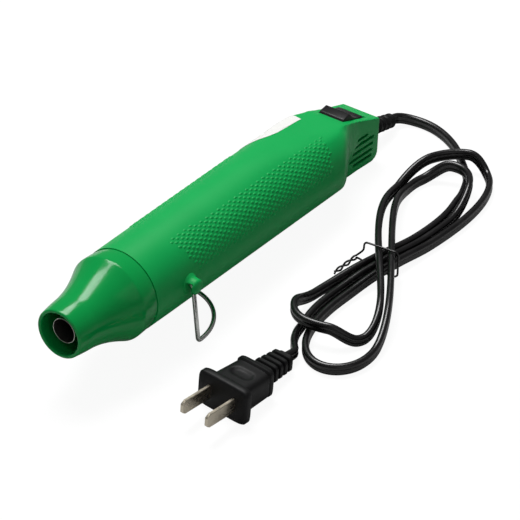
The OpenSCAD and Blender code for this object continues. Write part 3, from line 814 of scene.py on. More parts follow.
@dataclass
class CordAndPlug:
    """The flat cord from the tool's tail to its plug, with the twist tie."""

    finish: Finishes
    relief_start: tuple[float, float, float] = (106.1, 0.0, 12.0)
    relief_tilt: float = 15.0
    relief_yaw: float = -3.0
    relief_length: float = 24.0
    tie: Pair = (36.4, -60.5)
    hank_yaw: float = 6.0
    hank_from: float = 128.0
    hank_to: float = 938.0
    plug_face: tuple[float, float, float] = (-78.426, -58.741, 8.6)
    plug_yaw: float = -4.5
    plug_tip: float = 6.0
    relief_reach: float = 40.0
    blade_spacing: float = 12.7
    blade_length: float = 16.4

    # The hank at each half turn: its reach along, its half width, and its shift across at each quarter turn.
    # CLIMBS says where it goes over another run: the middle, half the level part and the ramp, in degrees.
    REACH = (66, 55, 88, 71, 76, 66)
    HALF = (12.5, 16, 17.5, 13.5, 15.5, 14.5)
    SHIFT = (3, 7.6, 5.5, 3.5, 0.8, -1, -8, -2.5, 4.2, 3.4, -4)
    CLIMBS = ((358, 16, 30), (722, 16, 30), (258, 26, 26), (432, 12, 28), (823, 18, 28))
    CLIMB = 5.9
    LEAD = (
        (137.6, -4.2, 3.5), (139.4, -8.6, 2.9), (139.9, -13.8, CORD_LOW), (139.2, -19.5, CORD_LOW),
        (137, -26, CORD_LOW), (133.5, -32.5, CORD_LOW), (129, -38.5, CORD_LOW), (123.5, -44, CORD_LOW),
        (117.5, -49.8, CORD_LOW), (110.8, -54.2, CORD_LOW),
    )
    TAIL = ((-26, -56.9, 2.9), (-29.8, -59.6, 3.3))

    # The plug's sections, from its face back: place, half width, half height, roundness, rise.
    FRONT = (
        (0.0, 11.7, 7.2, 7, 0), (0.4, 12.4, 7.9, 7, 0), (1.0, 12.7, 8.2, 7, 0), (3.2, 12.7, 8.2, 7, 0),
        (3.8, 12.3, 7.9, 7, 0), (4.0, 10.6, 7.2, 6, 0), (4.6, 9.6, 6.5, 5, 0),
    )
    BACK = (
        (19.0, 8.7, 6.1, 5, 0.1), (19.3, 8.7, 6.3, 5, 0.3), (19.7, 9.0, 6.5, 6, 0.5),
        (21.3, 9.0, 6.5, 6, 0.5),
        (21.8, 8.7, 6.2, 6, 0.5), (22.0, 6.4, 4.8, 5, 0.2), (22.4, 4.8, 3.3, 4, 0),
    )
    # One rib's sections, measured from its own place and size, and the relief's end.
    RIB = ((-0.12, -1.3, -1.0, 4), (0, -0.3, -0.3, 5), (0.3, 0, 0, 5), (1.7, 0, 0, 5), (2.0, -0.3, -0.3, 5),
           (2.12, -1.3, -1.0, 4))
    END = ((-0.9, 3.7, 2.9), (-0.2, 3.6, 2.8), (0, 3.3, 2.6))
    # The oval pressed into the top: middle, half length, half width, depth.
    OVAL = (12, 3.6, 5.4, 0.9)

    @staticmethod
    def direction(tilt: float, yaw: float) -> np.ndarray:
        """Returns a direction tilted down and turned, degrees."""
        t, y = math.radians(tilt), math.radians(yaw)
        return np.array([math.cos(t) * math.cos(y), math.cos(t) * math.sin(y), -math.sin(t)])

    @staticmethod
    def along(values: Sequence[float], k: float) -> float:
        """Eased value between the entries of a list."""
        i = min(int(math.floor(k)), len(values) - 2)
        return values[i] + (values[i + 1] - values[i]) * ease(k - i)

    def from_tie(self, x: float, y: float, z: float) -> np.ndarray:
        """Returns a point given along, across and over the hank from the tie, in the row frame, mm."""
        a = math.radians(self.hank_yaw)
        return np.array([self.tie[0] + x * math.cos(a) - y * math.sin(a),
                         self.tie[1] + x * math.sin(a) + y * math.cos(a), z])

    def hank_point(self, t: float) -> np.ndarray:
        """Finds the cord's middle in the hank.

        Args:
            t: degrees along the hank.

        Returns:
            The point in mm.
        """
        k, r = (t - 90) / 180, math.radians(t)
        x = self.along(self.REACH, k) * (math.sin(r) + 0.04 * math.sin(3 * r)) / 0.96
        y = (self.along(self.HALF, k) * (math.sin(2 * r) + 0.1 * math.sin(4 * r))
             + 8 * math.sin(r) * math.cos(r) ** 2 + self.along(self.SHIFT, 2 * k))
        climb = max(1 - ease(clamp01((abs(t - c) - flat) / ramp)) for c, flat, ramp in self.CLIMBS)
        lift = 1.3 * (1 - ease(clamp01((abs(x) - 4) / 22)))
        return self.from_tie(x, y, CORD_LOW + self.CLIMB * climb + lift)

    def route(self) -> np.ndarray:
        """Lays the cord's whole line, from the tool's relief to the plug's.

        Returns:
            The line's points, mm.
        """
        first = self.direction(self.relief_tilt, self.relief_yaw)
        start = np.array(self.relief_start) + self.relief_length * first
        turns = np.array([self.hank_point(t) for t in np.arange(self.hank_from, self.hank_to + 0.1, 1.5)])
        into = unit(turns[0] - turns[1])
        out = unit(turns[-1] - turns[-2])
        last = self.direction(self.plug_tip, self.plug_yaw)
        end = np.array(self.plug_face) + self.relief_reach * last
        lead = smooth_route([
            start, start + CORD_WIDTH * first, *self.LEAD,
            turns[0] + 2 * CORD_WIDTH * into, turns[0] + CORD_WIDTH * into, turns[0],
        ], 2.0)
        tail = smooth_route([
            turns[-1], turns[-1] + CORD_WIDTH * out, turns[-1] + 2 * CORD_WIDTH * out, *self.TAIL,
            end + CORD_WIDTH * last, end,
        ], 1.5)
        return np.vstack([lead[:-1], turns, tail[1:]])

    @staticmethod
    def section() -> list[Pair]:
        """Draws the twin cord's outline: two cores with a shallow valley.

        Returns:
            The outline's points, mm.
        """
        lobe, valley, points = 1.5, 1.12, []
        for middle, first, waist in ((1.2, -36, -valley), (-1.2, 144, valley)):
            arc = [polar(lobe, a) for a in range(first, first + 253, 21)]
            points += [(x, middle + y) for x, y in arc] + [(waist, 0.0)]
        return points

    def build(self) -> list[Obj]:
        """Returns:
            The cord, plug, blades and tie.
        """
        line = self.route()
        cable = dress(sweep("flat_cord", line, self.section(), True, 60), self.finish.cord)
        plug, blades = self.plug(), self.blades()
        tie = self.twist_tie()
        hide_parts("cord_lead", "cord_hank", "cord_tail")
        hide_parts("plug_body")
        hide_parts("plug_blades")
        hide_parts("twist_tie")
        for piece, slot in ((cable, "cord_black"), (plug, "cord_black"), (blades, "blade_nickel"),
                            (tie, "cord_black")):
            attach(piece, "tool")
        return [cable, plug, blades, tie]

    def plug_frame(self) -> np.ndarray:
        """Returns the plug's frame, with its first axis along the cord, mm."""
        return frame_along(self.plug_face, self.direction(self.plug_tip, self.plug_yaw))

    def plug_section(self, u: float, half_width: float, half_height: float, power: float,
                     rise: float) -> list[np.ndarray]:
        """Draws a rounded rectangle across the plug, with the oval pressed into its top.

        Args:
            u: how far it is from the plug's face, mm.
            half_width: half its width, mm.
            half_height: half its height, mm.
            power: how square its corners are.
            rise: how far it stands over the middle, mm.

        Returns:
            The ring's points, mm.
        """
        ring, (middle, half_long, half_wide, deep) = [], self.OVAL
        for k in range(72):
            a = 2 * math.pi * (k + 0.5) / 72
            c, s = math.cos(a), math.sin(a)
            y = half_width * math.copysign(abs(c) ** (2 / power), c)
            z = half_height * math.copysign(abs(s) ** (2 / power), s) + rise
            if abs(u - middle) < 3.5 and z > 0:
                oval = 1 - ((u - middle) / half_long) ** 2 - (y / half_wide) ** 2
                z -= deep * clamp01(oval * 3)
            ring.append(put(self.plug_frame(), u, y, z))
        return ring

    def plug(self) -> Obj:
        """Makes the moulded plug with its grip, ridge and ribbed relief.

        Returns:
            The plug.
        """
        rows: list[tuple] = [*self.FRONT]
        rows += [(5 + 0.5 * i, 9.5 - 0.02 * i, 6.5 - 0.012 * i, 5, 0) for i in range(28)]
        rows += self.BACK
        for k in range(5):
            u, w, h = 23.6 + 3.2 * k, 5.9 - 0.2 * k, 4.0 - 0.1 * k
            rows += [(u + du, w + dw, h + dh, power, 0) for du, dw, dh, power in self.RIB]
        rows += [(self.relief_reach + du, w, h, 4, 0) for du, w, h in self.END]
        body = loft("plug_moulding", [self.plug_section(*row) for row in rows], 38)
        return dress(body, self.finish.plug)

    def blades(self) -> Obj:
        """Makes the two flat blades with chamfered tips.

        Returns:
            Both blades as one piece.
        """
        base, long, half_wide, half_thick, edge = self.plug_frame(), self.blade_length, 3.175, 0.75, 0.22
        one_side = [(6.0, half_wide), (1.8 - long, half_wide), (0.4 - long, 2.2), (-long, 1.7)]
        outline = [(6.0, -half_wide), *one_side, *((u, -z) for u, z in one_side[:0:-1])]
        layers = ((-half_thick, edge), (edge - half_thick, 0.0), (half_thick - edge, 0.0), (half_thick, edge))
        parts = []
        for side in (-1, 1):
            middle = side * self.blade_spacing / 2
            rings = [
                [
                    put(base, u if u > 0 else u + inset, middle + y, z * (1 - inset / half_wide))
                    for u, z in outline
                ]
                for y, inset in layers
            ]
            parts.append(loft(f"blade_{side}", rings, 20))
        both = join("plug_pins", parts)
        shade(both, 25)
        return dress(both, self.finish.blade)

    def twist_tie(self) -> Obj:
        """Makes the tie: one wire round the bundle with a twisted stem.

        Returns:
            The tie.
        """
        left, right, low, high, turn, steps = 10.6, -5.7, 0.6, 13.5, 1.8, 36
        foot, toward = np.array([-1.4, 13.4, 5.6]), unit([-1, 0.35, -0.2])
        side = unit(np.cross([0, 0, 1], toward))
        up = np.cross(toward, side)

        def stem(u: float, phase: float) -> np.ndarray:
            """Returns a point of one of the two twisted ends, u from 0 to 1."""
            across, over = polar(1, 360 * 1.5 * u + phase)
            return foot + 13 * u * toward + 0.7 * (across * side + over * up)

        def corner(y: float, z: float, first: int) -> list[tuple[float, float, float]]:
            """Returns a quarter turn about a middle, starting at an angle in degrees."""
            return [
                (0, y + across, z + over)
                for across, over in (polar(turn, first + a) for a in (0, 30, 60, 90))
            ]

        points = [
            *(stem(i / steps, 90) for i in range(steps, -1, -1)),
            (-0.4, 12.2, 7.4), (0, left + 0.3, 9.2), *corner(left - turn, high - turn, 0),
            (0, 3, high), *corner(right + turn, high - turn, 90),
            (0, right, 7), *corner(right + turn, low + turn, 180),
            (0, 3, low), *corner(left - turn, low + turn, 270), (-0.4, 11.9, 3.9),
            *(stem(i / steps, 270) for i in range(steps + 1)),
        ]
        line = smooth_route([self.from_tie(*p) for p in points], 0.7)
        return dress(sweep("twist_wire", line, round_outline(0.45, 12), False), self.finish.cord)


# ---------------------------------------------------------------- tool


@dataclass
class Handle:
    """The two handle shells with grip pips, vents and the rocker opening.

    Fields that end in _s or _from are stations along the axis.
    """

    finish: Finishes
    collar_end: float = 39.6
    front_s: float = 54.0
    middle_s: float = 100.0
    label_front: float = 140.6
    block_from: float = 160.0
    flank_from: float = 163.0
    crown_from: float = 165.0
    facet_s: float = 183.9
    flank_s: float = 190.6
    dome_end: float = 199.0
    heel_from: float = 209.0
    facet_z: float = 14.3
    facet_slope: float = 18.08
    crown_z: float = 19.9
    tail_radius: float = 8.0
    tail_floor: float = 16.7
    wall: float = 1.9
    columns: int = 72
    pips_from: float = 56.0
    pips_lift: float = 12.5
    label_lift: float = 0.17
    label_stock: float = 0.12

    # The vents' front, rear and height, and the screw posts' station and height.
    VENTS = ((196.2, 204.8, 0.0), (194.3, 209.4, -2.8), (192.8, 209.0, -6.1), (190.8, 208.8, -9.4),
             (194.0, 208.3, -12.3))
    POSTS = ((69.0, -13.5), (128.0, -13.5), (170.0, -12.5))
    # How far the last rings are drawn in, which rounds the tail's edge.
    END_INSETS = {212.7: 0.06, 212.9: 0.22, TOOL_LENGTH: 0.55}
    # A pip's size in metres, and the steps along and round the handle in mm.
    PIP_SIZES = {"Length": 1.75 * MM, "Width": 1.02 * MM, "Height": 0.4 * MM}
    PIP_STEP = (3.92, 1.15)
    # The stand's knob: distance from the middle of the handle, radius.
    BOSS = (
        (17.4, 1.05), (17.4, 5.0), (18.7, 4.7), (19.1, 4.3), (19.6, 3.9), (20.2, 3.6), (21.0, 3.45),
        (22.4, 3.4),
        (22.9, 3.2), (23.3, 2.7), (23.6, 1.9), (23.7, 1.0), (23.72, 0.0), (22.3, 0.0), (22.3, 1.05),
    )

    def round_radius(self, s: float) -> float:
        """Finds the round body's radius at a station.

        Args:
            s: station along the axis, mm.

        Returns:
            The radius in mm.
        """
        if s < self.front_s:
            return 18.8 + 0.2 * (s - self.collar_end) / 14.4
        if s < self.middle_s:
            return 19.0 + 0.4 * (s - self.front_s) / 46
        if s < BELLY_S:
            return 19.4 + 0.7 * (s - self.middle_s) / 79
        if s < self.dome_end:
            return 10 + 10.1 * (1 - ease((s - BELLY_S) / 20))
        return self.tail_radius

    def reach(self, s: float, angle: float) -> float:
        """Returns how far the surface is from the axis, mm.

        Args:
            s: station along the axis.
            angle: degrees from the far side (0) over the top (90).

        Returns:
            The distance in mm.
        """
        across, height = polar(1, angle)
        width, drop = abs(across), -height
        side = self.round_radius(s)
        if s > self.crown_from:  # The top falls toward the rocker.
            upper = 10 + 10 * (1 - ease(clamp01((s - self.crown_from) / 34) ** 1.5))
            side += (min(side, upper) - side) * clamp01(height * 1.3)
        if s > BELLY_S and drop > 0:  # The belly meets the tail's floor.
            belly = self.tail_floor + (REAR_RADIUS - self.tail_floor) * (1 - clamp01((s - BELLY_S) / 11)) ** 2
            side += (min(belly / max(drop, 0.05), max(side, belly)) - side) * clamp01(drop * 1.2 - 0.1)
        out = side
        if s > self.flank_from:  # The flanks are drawn in.
            flank = 8.6 + 12.6 * clamp01((self.flank_s - s) / 19.6) - 0.25 * max(s - self.flank_s, 0.0)
            out = smooth_min(out, flank / max(width, 0.02), 0.2 + 3.8 * clamp01((s - self.flank_from) / 12))
        if s > self.block_from:  # The square tail block stands out of them.
            walls = self.block_reach(s, width, drop)
            soft = 0.2 + 6.3 * clamp01((s - self.block_from) / 24) - 6.4 * clamp01((s - 192) / 14)
            out = smooth_max(out, walls, soft * (1 - 0.6 * clamp01((drop - 0.2) / 0.5)))
        if height > 0.05:  # The flat top and the switch's facet cut both.
            past = s - self.facet_s
            if past < 0:
                top = self.facet_z + (self.crown_z - self.facet_z) * -past / (self.facet_s - 141.0)
            else:
                top = self.facet_z - past * math.tan(math.radians(self.facet_slope))
            out = smooth_min(out, top / height, 3.0 - 2.3 * clamp01((s - self.crown_from) / 18))
        return out

    def block_reach(self, s: float, width: float, drop: float) -> float:
        """Returns how far the square tail block is from the axis, mm.

        Args:
            s: station along the axis.
            width: how far the direction points sideways, 0 to 1.
            drop: how far it points down, -1 to 1.

        Returns:
            The distance in mm.
        """
        walls = (8.7 + 1.3 * (s - 184) / 29) / max(width, 0.02)
        if drop <= 0:
            return walls
        floor = self.tail_floor
        if s > self.heel_from:
            floor += math.sqrt(max(16 - (s - self.heel_from) ** 2, 0.0)) - 4
        return smooth_min(walls, floor / max(drop, 0.02), 1.6)

    def surface(self, s: float, angle: float, grow: float = 0.0) -> np.ndarray:
        """Returns a surface point in the row frame, mm."""
        return tool_point(s, *polar(self.reach(s, angle) + grow, angle))

    def stations(self) -> list[float]:
        """Returns the rings' places, closer together in the tail."""
        spans = ((self.collar_end, 140, 2.5), (140, 176, 1.2), (176, 209, 0.5), (209, 212.6, 0.3))
        return [float(p) for span in spans for p in np.arange(*span)] + [*self.END_INSETS]

    def half(self, name: str, side: int) -> Obj:
        """Makes one shell half: its skin, wall, vents, boss and openings.

        Args:
            name: the object's name.
            side: -1 for the near half, 1 for the far half.

        Returns:
            The shell half.
        """
        first = 90.0 if side < 0 else -90.0
        count = self.columns + 1
        angles = [first + 180.0 * j / self.columns for j in range(count)]
        gap = np.array([0, 0.004 * side, 0])
        rings = self.stations()
        inner = [s for s in rings if s < TOOL_LENGTH - self.wall]
        skin = [(s, -self.END_INSETS.get(s, 0.0)) for s in rings] + [(s, -self.wall) for s in inner]
        points = [self.surface(s, a, grow) + gap for s, grow in skin for a in angles]
        base = len(rings) * count
        faces = grid_faces(len(rings), count, False)
        faces += [tuple(base + i for i in face) for face in grid_faces(len(inner), count, False)]
        last, deep = (len(rings) - 1) * count, base + (len(inner) - 1) * count
        faces += [(j, j + 1, base + j + 1, base + j) for j in range(count - 1)]
        faces += [tuple(range(last, last + count)), tuple(range(deep, deep + count))]
        ends = []
        for j in (0, count - 1):
            for a in range(j, (len(inner) - 1) * count, count):
                faces.append((a, a + count, base + a + count, base + a))
            ends.append([i * count + j for i in range(len(inner) - 1, len(rings))])
        faces.append(tuple(ends[0] + ends[1][::-1] + [deep + count - 1, deep]))
        shell = mesh_object(name, points, faces)
        tidy_normals(shell)
        cut(shell, self.cutters(side))
        whole = join(name, [shell, self.boss(side), *(self.post_walls() if side > 0 else [])])
        shade(whole, 32)
        return dress(whole, self.finish.handle)

    @staticmethod
    def face_outward(obj: Obj) -> None:
        """Turns an open sheet so that its faces point away from the axis.

        Args:
            obj: the sheet.
        """
        centre = Vector(tool_point(0, 0, 0)) * MM
        axis = Vector(TOOL_AXIS)
        total = 0.0
        for poly in obj.data.polygons:
            arm = poly.center - centre
            arm -= axis * arm.dot(axis)
            total += poly.normal.dot(arm) * poly.area
        if total < 0:
            obj.data.flip_normals()

    @staticmethod
    def block(name: str, low: Point, high: Point, base: np.ndarray) -> Obj:
        """Makes a cutter box in a local frame, mm.

        Args:
            name: the object's name.
            low: the box's lowest corner.
            high: its highest corner.
            base: 4x4 matrix of the local frame, mm.

        Returns:
            The box.
        """
        corners = [put(base, *corner) for corner in product(*zip(low, high))]
        faces = [(0, 1, 3, 2), (4, 6, 7, 5), (0, 4, 5, 1), (2, 3, 7, 6), (0, 2, 6, 4), (1, 5, 7, 3)]
        obj = mesh_object(name, corners, faces, False)
        tidy_normals(obj)
        return obj

    @staticmethod
    def drill(name: str, start: Point, end: Point, r: float) -> Obj:
        """Makes a round cutter between two points of the row frame, mm.

        Args:
            name: the object's name.
            start: the middle of one end.
            end: the middle of the other.
            r: the hole's radius, mm.

        Returns:
            The cutter.
        """
        a, b = np.asarray(start, float), np.asarray(end, float)
        base = frame_along(a, b - a, (1, 0, 0.2))
        length = float(np.linalg.norm(b - a))
        return lathe(name, [(0, 0.0), (0, r), (length, r), (length, 0.0)], base, False, 40)

    def facet_matrix(self) -> np.ndarray:
        """Returns the switch facet's frame, mm."""
        return tool_matrix() @ tilted(self.facet_slope, self.facet_s, self.facet_z)

    def slot_cutter(self, front: float, rear: float, z: float, side: int) -> Obj:
        """Makes a round-ended vent cutter through one side wall.

        Args:
            front: the slot's end toward the nozzle, mm.
            rear: its other end, mm.
            z: its height over the axis, mm.
            side: -1 for the near half, 1 for the far half.

        Returns:
            The cutter.
        """
        r = 0.78
        ends = [(x, polar(r, a + 22.5 * k)) for x, a in ((front + r, 90), (rear - r, -90)) for k in range(9)]
        rings = [[tool_point(x + c, side * y, z + h) for x, (c, h) in ends] for y in (4.0, 24.0)]
        return loft("vent", rings)

    def cutters(self, side: int) -> list[Obj]:
        """Makes the cutters for vents, rocker, cord and hinge.

        Args:
            side: -1 for the near half, 1 for the far half.

        Returns:
            The cutters.
        """
        tools = [self.slot_cutter(a, b, z, side) for a, b, z in self.VENTS]
        tools.append(self.block("rocker_hole", (3.5, -6.8, -6), (23.3, 6.8, 8), self.facet_matrix()))
        holes = [("cord_hole", (205, 0, CORD_Z), (218, 0, CORD_Z), 4.2),
                 ("hinge_hole", (STAND_S, side * 12, 0), (STAND_S, side * 18.9, 0), 1.05)]
        if side > 0:
            holes += [("screw_hole", (s, 8.5, z), (s, 26, z), 2.4) for s, z in self.POSTS]
        return tools + [
            self.drill(name, tool_point(*start), tool_point(*end), r)
            for name, start, end, r in holes
        ]

    def boss(self, side: int) -> Obj:
        """Makes the filleted knob that holds the stand, with its leg slot.

        Args:
            side: -1 for the near half, 1 for the far half.

        Returns:
            The knob.
        """
        base = frame_along(tool_point(STAND_S, 0, 0), (0, side, 0), (1, 0, 0))
        knob = lathe("boss", self.BOSS, base, True, 64)
        near, far = sorted((side * 19.35, side * 22.3))
        slot = self.block("slot", (STAND_S - 8, near, -8), (STAND_S + 1.3, far, 2.3), tool_matrix())
        return cut(knob, [slot])

    def post_walls(self) -> list[Obj]:
        """Makes the walls round the deep screw holes of the far half.

        Returns:
            The walls.
        """
        walls, back = [], np.linalg.inv(tool_matrix())
        for s, z in self.POSTS:
            skin = math.sqrt(self.round_radius(s) ** 2 - z ** 2)
            base = frame_along(tool_point(s, 0, z), (0, 1, 0), (1, 0, 0))
            profile = [(0.2, 1.3), (5.9, 1.3), (5.9, 2.4), (skin, 2.4), (skin, 3.0), (0.2, 3.0)]
            post = lathe("post", profile, base, True, 40)
            for vertex in post.data.vertices:
                station, y, height = (back @ np.array([*vertex.co, MM]) / MM)[:3]
                for _ in range(3):
                    r = self.reach(station, math.degrees(math.atan2(height, y))) - 0.5
                    y = min(y, math.sqrt(max(r * r - height * height, 0.04)))
                vertex.co.y = y * MM
            walls.append(post)
        return walls

    def pips(self, side: int) -> Obj:
        """Makes the grip's raised diamonds on one side with Geometry Nodes.

        Args:
            side: -1 for the near half, 1 for the far half.

        Returns:
            The pips as one object.
        """
        axial, row = self.PIP_STEP
        spots, turns = [], []
        for i, j in product(range(-2, 60), range(60)):
            s = self.pips_from + axial * i + (axial / 2 if j % 2 else 0.0)
            lift = self.pips_lift + math.degrees(row / 19.5) * j
            front = 66.3 - 7.6 * (lift - 14) / 50
            rear = 161.5 + 5.0 * (lift - 14) / 48 if side < 0 else 133.0 - 0.05 * lift
            if not (front < s < rear and lift < 63.5 - 0.02 * (s - 60)):
                continue
            angle = 180 - lift if side < 0 else lift
            here = self.surface(s, angle)
            ahead = self.surface(s + 0.5, angle) - self.surface(s - 0.5, angle)
            over = self.surface(s, angle + 1) - self.surface(s, angle - 1)
            x, z = unit(ahead), unit(np.cross(ahead, over))
            if z @ (here - tool_point(s, 0, 0)) < 0:
                z = -z
            spots.append(here + 0.02 * z)
            turns.append(Matrix(np.array([x, np.cross(z, x), z]).T.tolist()).to_euler())
        cloud = mesh_object("pip_points", spots, [], False)
        attribute = cloud.data.attributes.new("turn", "FLOAT_VECTOR", "POINT")
        attribute.data.foreach_set("vector", [c for e in turns for c in e])
        modifier = cloud.modifiers.new("grip", "NODES")
        modifier.node_group = self.pip_tree()
        for item in modifier.node_group.interface.items_tree:
            if item.item_type == "SOCKET" and item.in_out == "INPUT" and item.name in self.PIP_SIZES:
                modifier[item.identifier] = self.PIP_SIZES[item.name]
        settled(cloud)
        cloud.name = "grip_near" if side < 0 else "grip_far"
        shade(cloud, 50)
        LOG.info("%s: %d pips", cloud.name, len(spots))
        return cloud

    def pip_tree(self) -> bpy.types.GeometryNodeTree:
        """Builds the node tree that sets a soft diamond on every point.

        Returns:
            The node tree.
        """
        tree = bpy.data.node_groups.new("grip_pips", "GeometryNodeTree")
        ports = [("Geometry", "INPUT", "Geometry"), *((size, "INPUT", "Float") for size in self.PIP_SIZES),
                 ("Geometry", "OUTPUT", "Geometry")]
        for port, way, kind in ports:
            tree.interface.new_socket(port, in_out=way, socket_type=f"NodeSocket{kind}")

        def add(kind: str, settings: dict | None = None, **inputs: object) -> bpy.types.NodeSocket:
            """Adds a node, with _ for a space in socket names, and returns its first output."""
            named = {key.replace("_", " "): value for key, value in inputs.items()}
            return add_node(tree, kind, settings, named).outputs[0]

        given = tree.nodes.new("NodeGroupInput").outputs
        cone = add("GeometryNodeMeshCone", {"fill_type": "NONE"}, Vertices=4, Side_Segments=2, Radius_Top=0.3,
                   Radius_Bottom=1.12, Depth=1.0)
        lid = add("GeometryNodeMeshCircle", {"fill_type": "NGON"}, Vertices=4, Radius=0.3)
        raised = add("GeometryNodeTransform", Geometry=lid, Translation=(0, 0, 1))
        together = add_node(tree, "GeometryNodeJoinGeometry", {}, {0: cone})
        tree.links.new(raised, together.inputs[0])
        merged = add("GeometryNodeMergeByDistance", Geometry=together.outputs[0])
        soft = add("GeometryNodeSubdivisionSurface", Mesh=merged, Level=1)
        size = add("ShaderNodeCombineXYZ", X=given["Length"], Y=given["Width"], Z=given["Height"])
        scaled = add("GeometryNodeTransform", Geometry=soft, Scale=size)
        sunk = add("GeometryNodeTransform", Geometry=scaled, Translation=(0, 0, -0.1 * MM))
        turn = add("GeometryNodeInputNamedAttribute", {"data_type": "FLOAT_VECTOR"}, Name="turn")
        varied = add_node(
            tree, "FunctionNodeRandomValue", {"data_type": "FLOAT"}, {2: 0.94, 3: 1.06, "Seed": 7},
        )
        spread = add("GeometryNodeInstanceOnPoints", Points=given["Geometry"], Instance=sunk, Rotation=turn,
                     Scale=varied.outputs[1])
        real = add("GeometryNodeRealizeInstances", Geometry=spread)
        paint = add("GeometryNodeSetMaterial", Geometry=real, Material=self.finish.handle)
        tree.links.new(paint, tree.nodes.new("NodeGroupOutput").inputs[0])
        return tree

    def label(self) -> Obj:
        """Makes the bare sticker on the far top side.

        Returns:
            The label.
        """
        rows, columns, middle, points = 44, 40, 163.0, []
        for i, j in product(range(rows + 1), range(columns + 1)):
            v = 2 * j / columns - 1
            start = middle - (middle - self.label_front) * math.sqrt(1 - v * v)
            end = 176.4 - 2.4 * v
            s = start + (end - start) * i / rows
            angle = 38.5 + 36.5 * v - 8.0 * clamp01((s - 148) / 24) * clamp01(v)
            points.append(self.surface(s, angle, self.label_lift))
        sheet = mesh_object("label_sheet", points, grid_faces(rows + 1, columns + 1, False), True, 60)
        tidy_normals(sheet)
        self.face_outward(sheet)
        thick = sheet.modifiers.new("stock", "SOLIDIFY")
        thick.thickness = self.label_stock * MM
        thick.offset = -1.0
        settled(sheet)
        shade(sheet, 40)
        return dress(sheet, self.finish.label)

    def build(self) -> list[Obj]:
        """Makes both halves, the grips and the label.

        Returns:
            The near half, the far half and the label.
        """
        near, far = (
            join(name, [self.half(name, side), self.pips(side)])
            for name, side in (("near_shell", -1), ("far_shell", 1))
        )
        label = self.label()
        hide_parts("left_shell")
        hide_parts("right_shell")
        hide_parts("rating_label")
        for piece, slot in ((near, "shell_green"), (far, "shell_green"), (label, "label_white")):
            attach(piece, "tool")
        return [near, far, label]


@dataclass
class Nozzle:
    """The glossy shroud with its collar band and the steel outlet tube."""

    finish: Finishes
    throat: float = 10.85
    neck_rise: float = 1.3
    shoulder: float = 18.95
    wall: float = 1.55
    lip: float = 0.8
    # Where the painted shade on the tube's inner wall starts from the mouth, and the radius inside which it
    # is painted, mm.
    tube_shade_from: float = 3.5
    tube_shade_radius: float = 12.3

    # The collar band with the shroud's inside behind it, then the outlet tube: station, radius.
    COLLAR = (
        (30.85, 18.82), (31.1, 18.92), (31.5, 18.97), (33, 18.95), (36, 18.8), (39.1, 18.55), (39.4, 18.46),
        (39.5, 18.25), (39.5, 16.5), (44, 16.5), (44, 14.9), (38.4, 14.9), (36, 17.4),
    )
    TUBE = (
        (3.2, 5.25), (3.12, 5.4), (3.2, 5.58), (3.4, 5.65), (18, 5.65), (19, 5.8), (25.2, 12.3), (26, 12.5),
        (61.9, 12.5), (61.9, 12.0), (26.2, 12.0), (25.4, 11.8), (18.8, 5.3), (18, 5.15), (3.4, 5.15),
    )

    def radius(self, s: float) -> float:
        """Returns the shroud's outer radius at a station, mm."""
        neck = self.throat + self.neck_rise * math.sin(math.pi / 2 * clamp01(s / 14))
        return neck + (self.shoulder - self.throat - self.neck_rise) * clamp01((s - 10) / 21) ** 1.6

    def paint_tube_shade(self, pipe: Obj) -> None:
        """Paints shade on the tube's inner wall past the mouth, in near-black mottled steel.

        Args:
            pipe: the outlet tube.
        """
        pipe.data.materials.append(self.finish.tube_shade)
        centre = Vector(tool_point(0, 0, 0)) * MM
        axis = Vector(TOOL_AXIS)
        for poly in pipe.data.polygons:
            arm = poly.center - centre
            along = arm.dot(axis)
            arm -= axis * along
            inside = poly.normal.dot(arm) < 0 and arm.length < self.tube_shade_radius * MM
            if inside and along > self.tube_shade_from * MM:
                poly.material_index = 1

    def build(self) -> list[Obj]:
        """Makes the shroud and the tube.

        Returns:
            The shroud and the tube.
        """
        base, lip = tool_matrix(), self.lip
        turn = [polar(lip, 180 + 18 * k) for k in range(11)]
        profile = [(lip + y, self.throat + 0.1 - lip + x) for x, y in turn]
        profile += [(float(s), self.radius(s)) for s in np.arange(1.2, 30.4, 0.73)]
        profile += [(30.6, self.radius(30.6) - 0.03), *self.COLLAR]
        profile += [(float(s), self.radius(s) - self.wall) for s in np.arange(31, 2.9, -1.0)]
        shroud = dress(lathe("nozzle_shroud", profile, base, True, 160, 24), self.finish.shroud)
        steel = dress(lathe("outlet_pipe", self.TUBE, base, True, 96, 30), self.finish.tube)
        # Painted shade inside the tube.
        self.paint_tube_shade(steel)
        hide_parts("shroud")
        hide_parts("outlet_tube")
        for piece in (shroud, steel):
            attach(piece, "tool")
        return [shroud, steel]


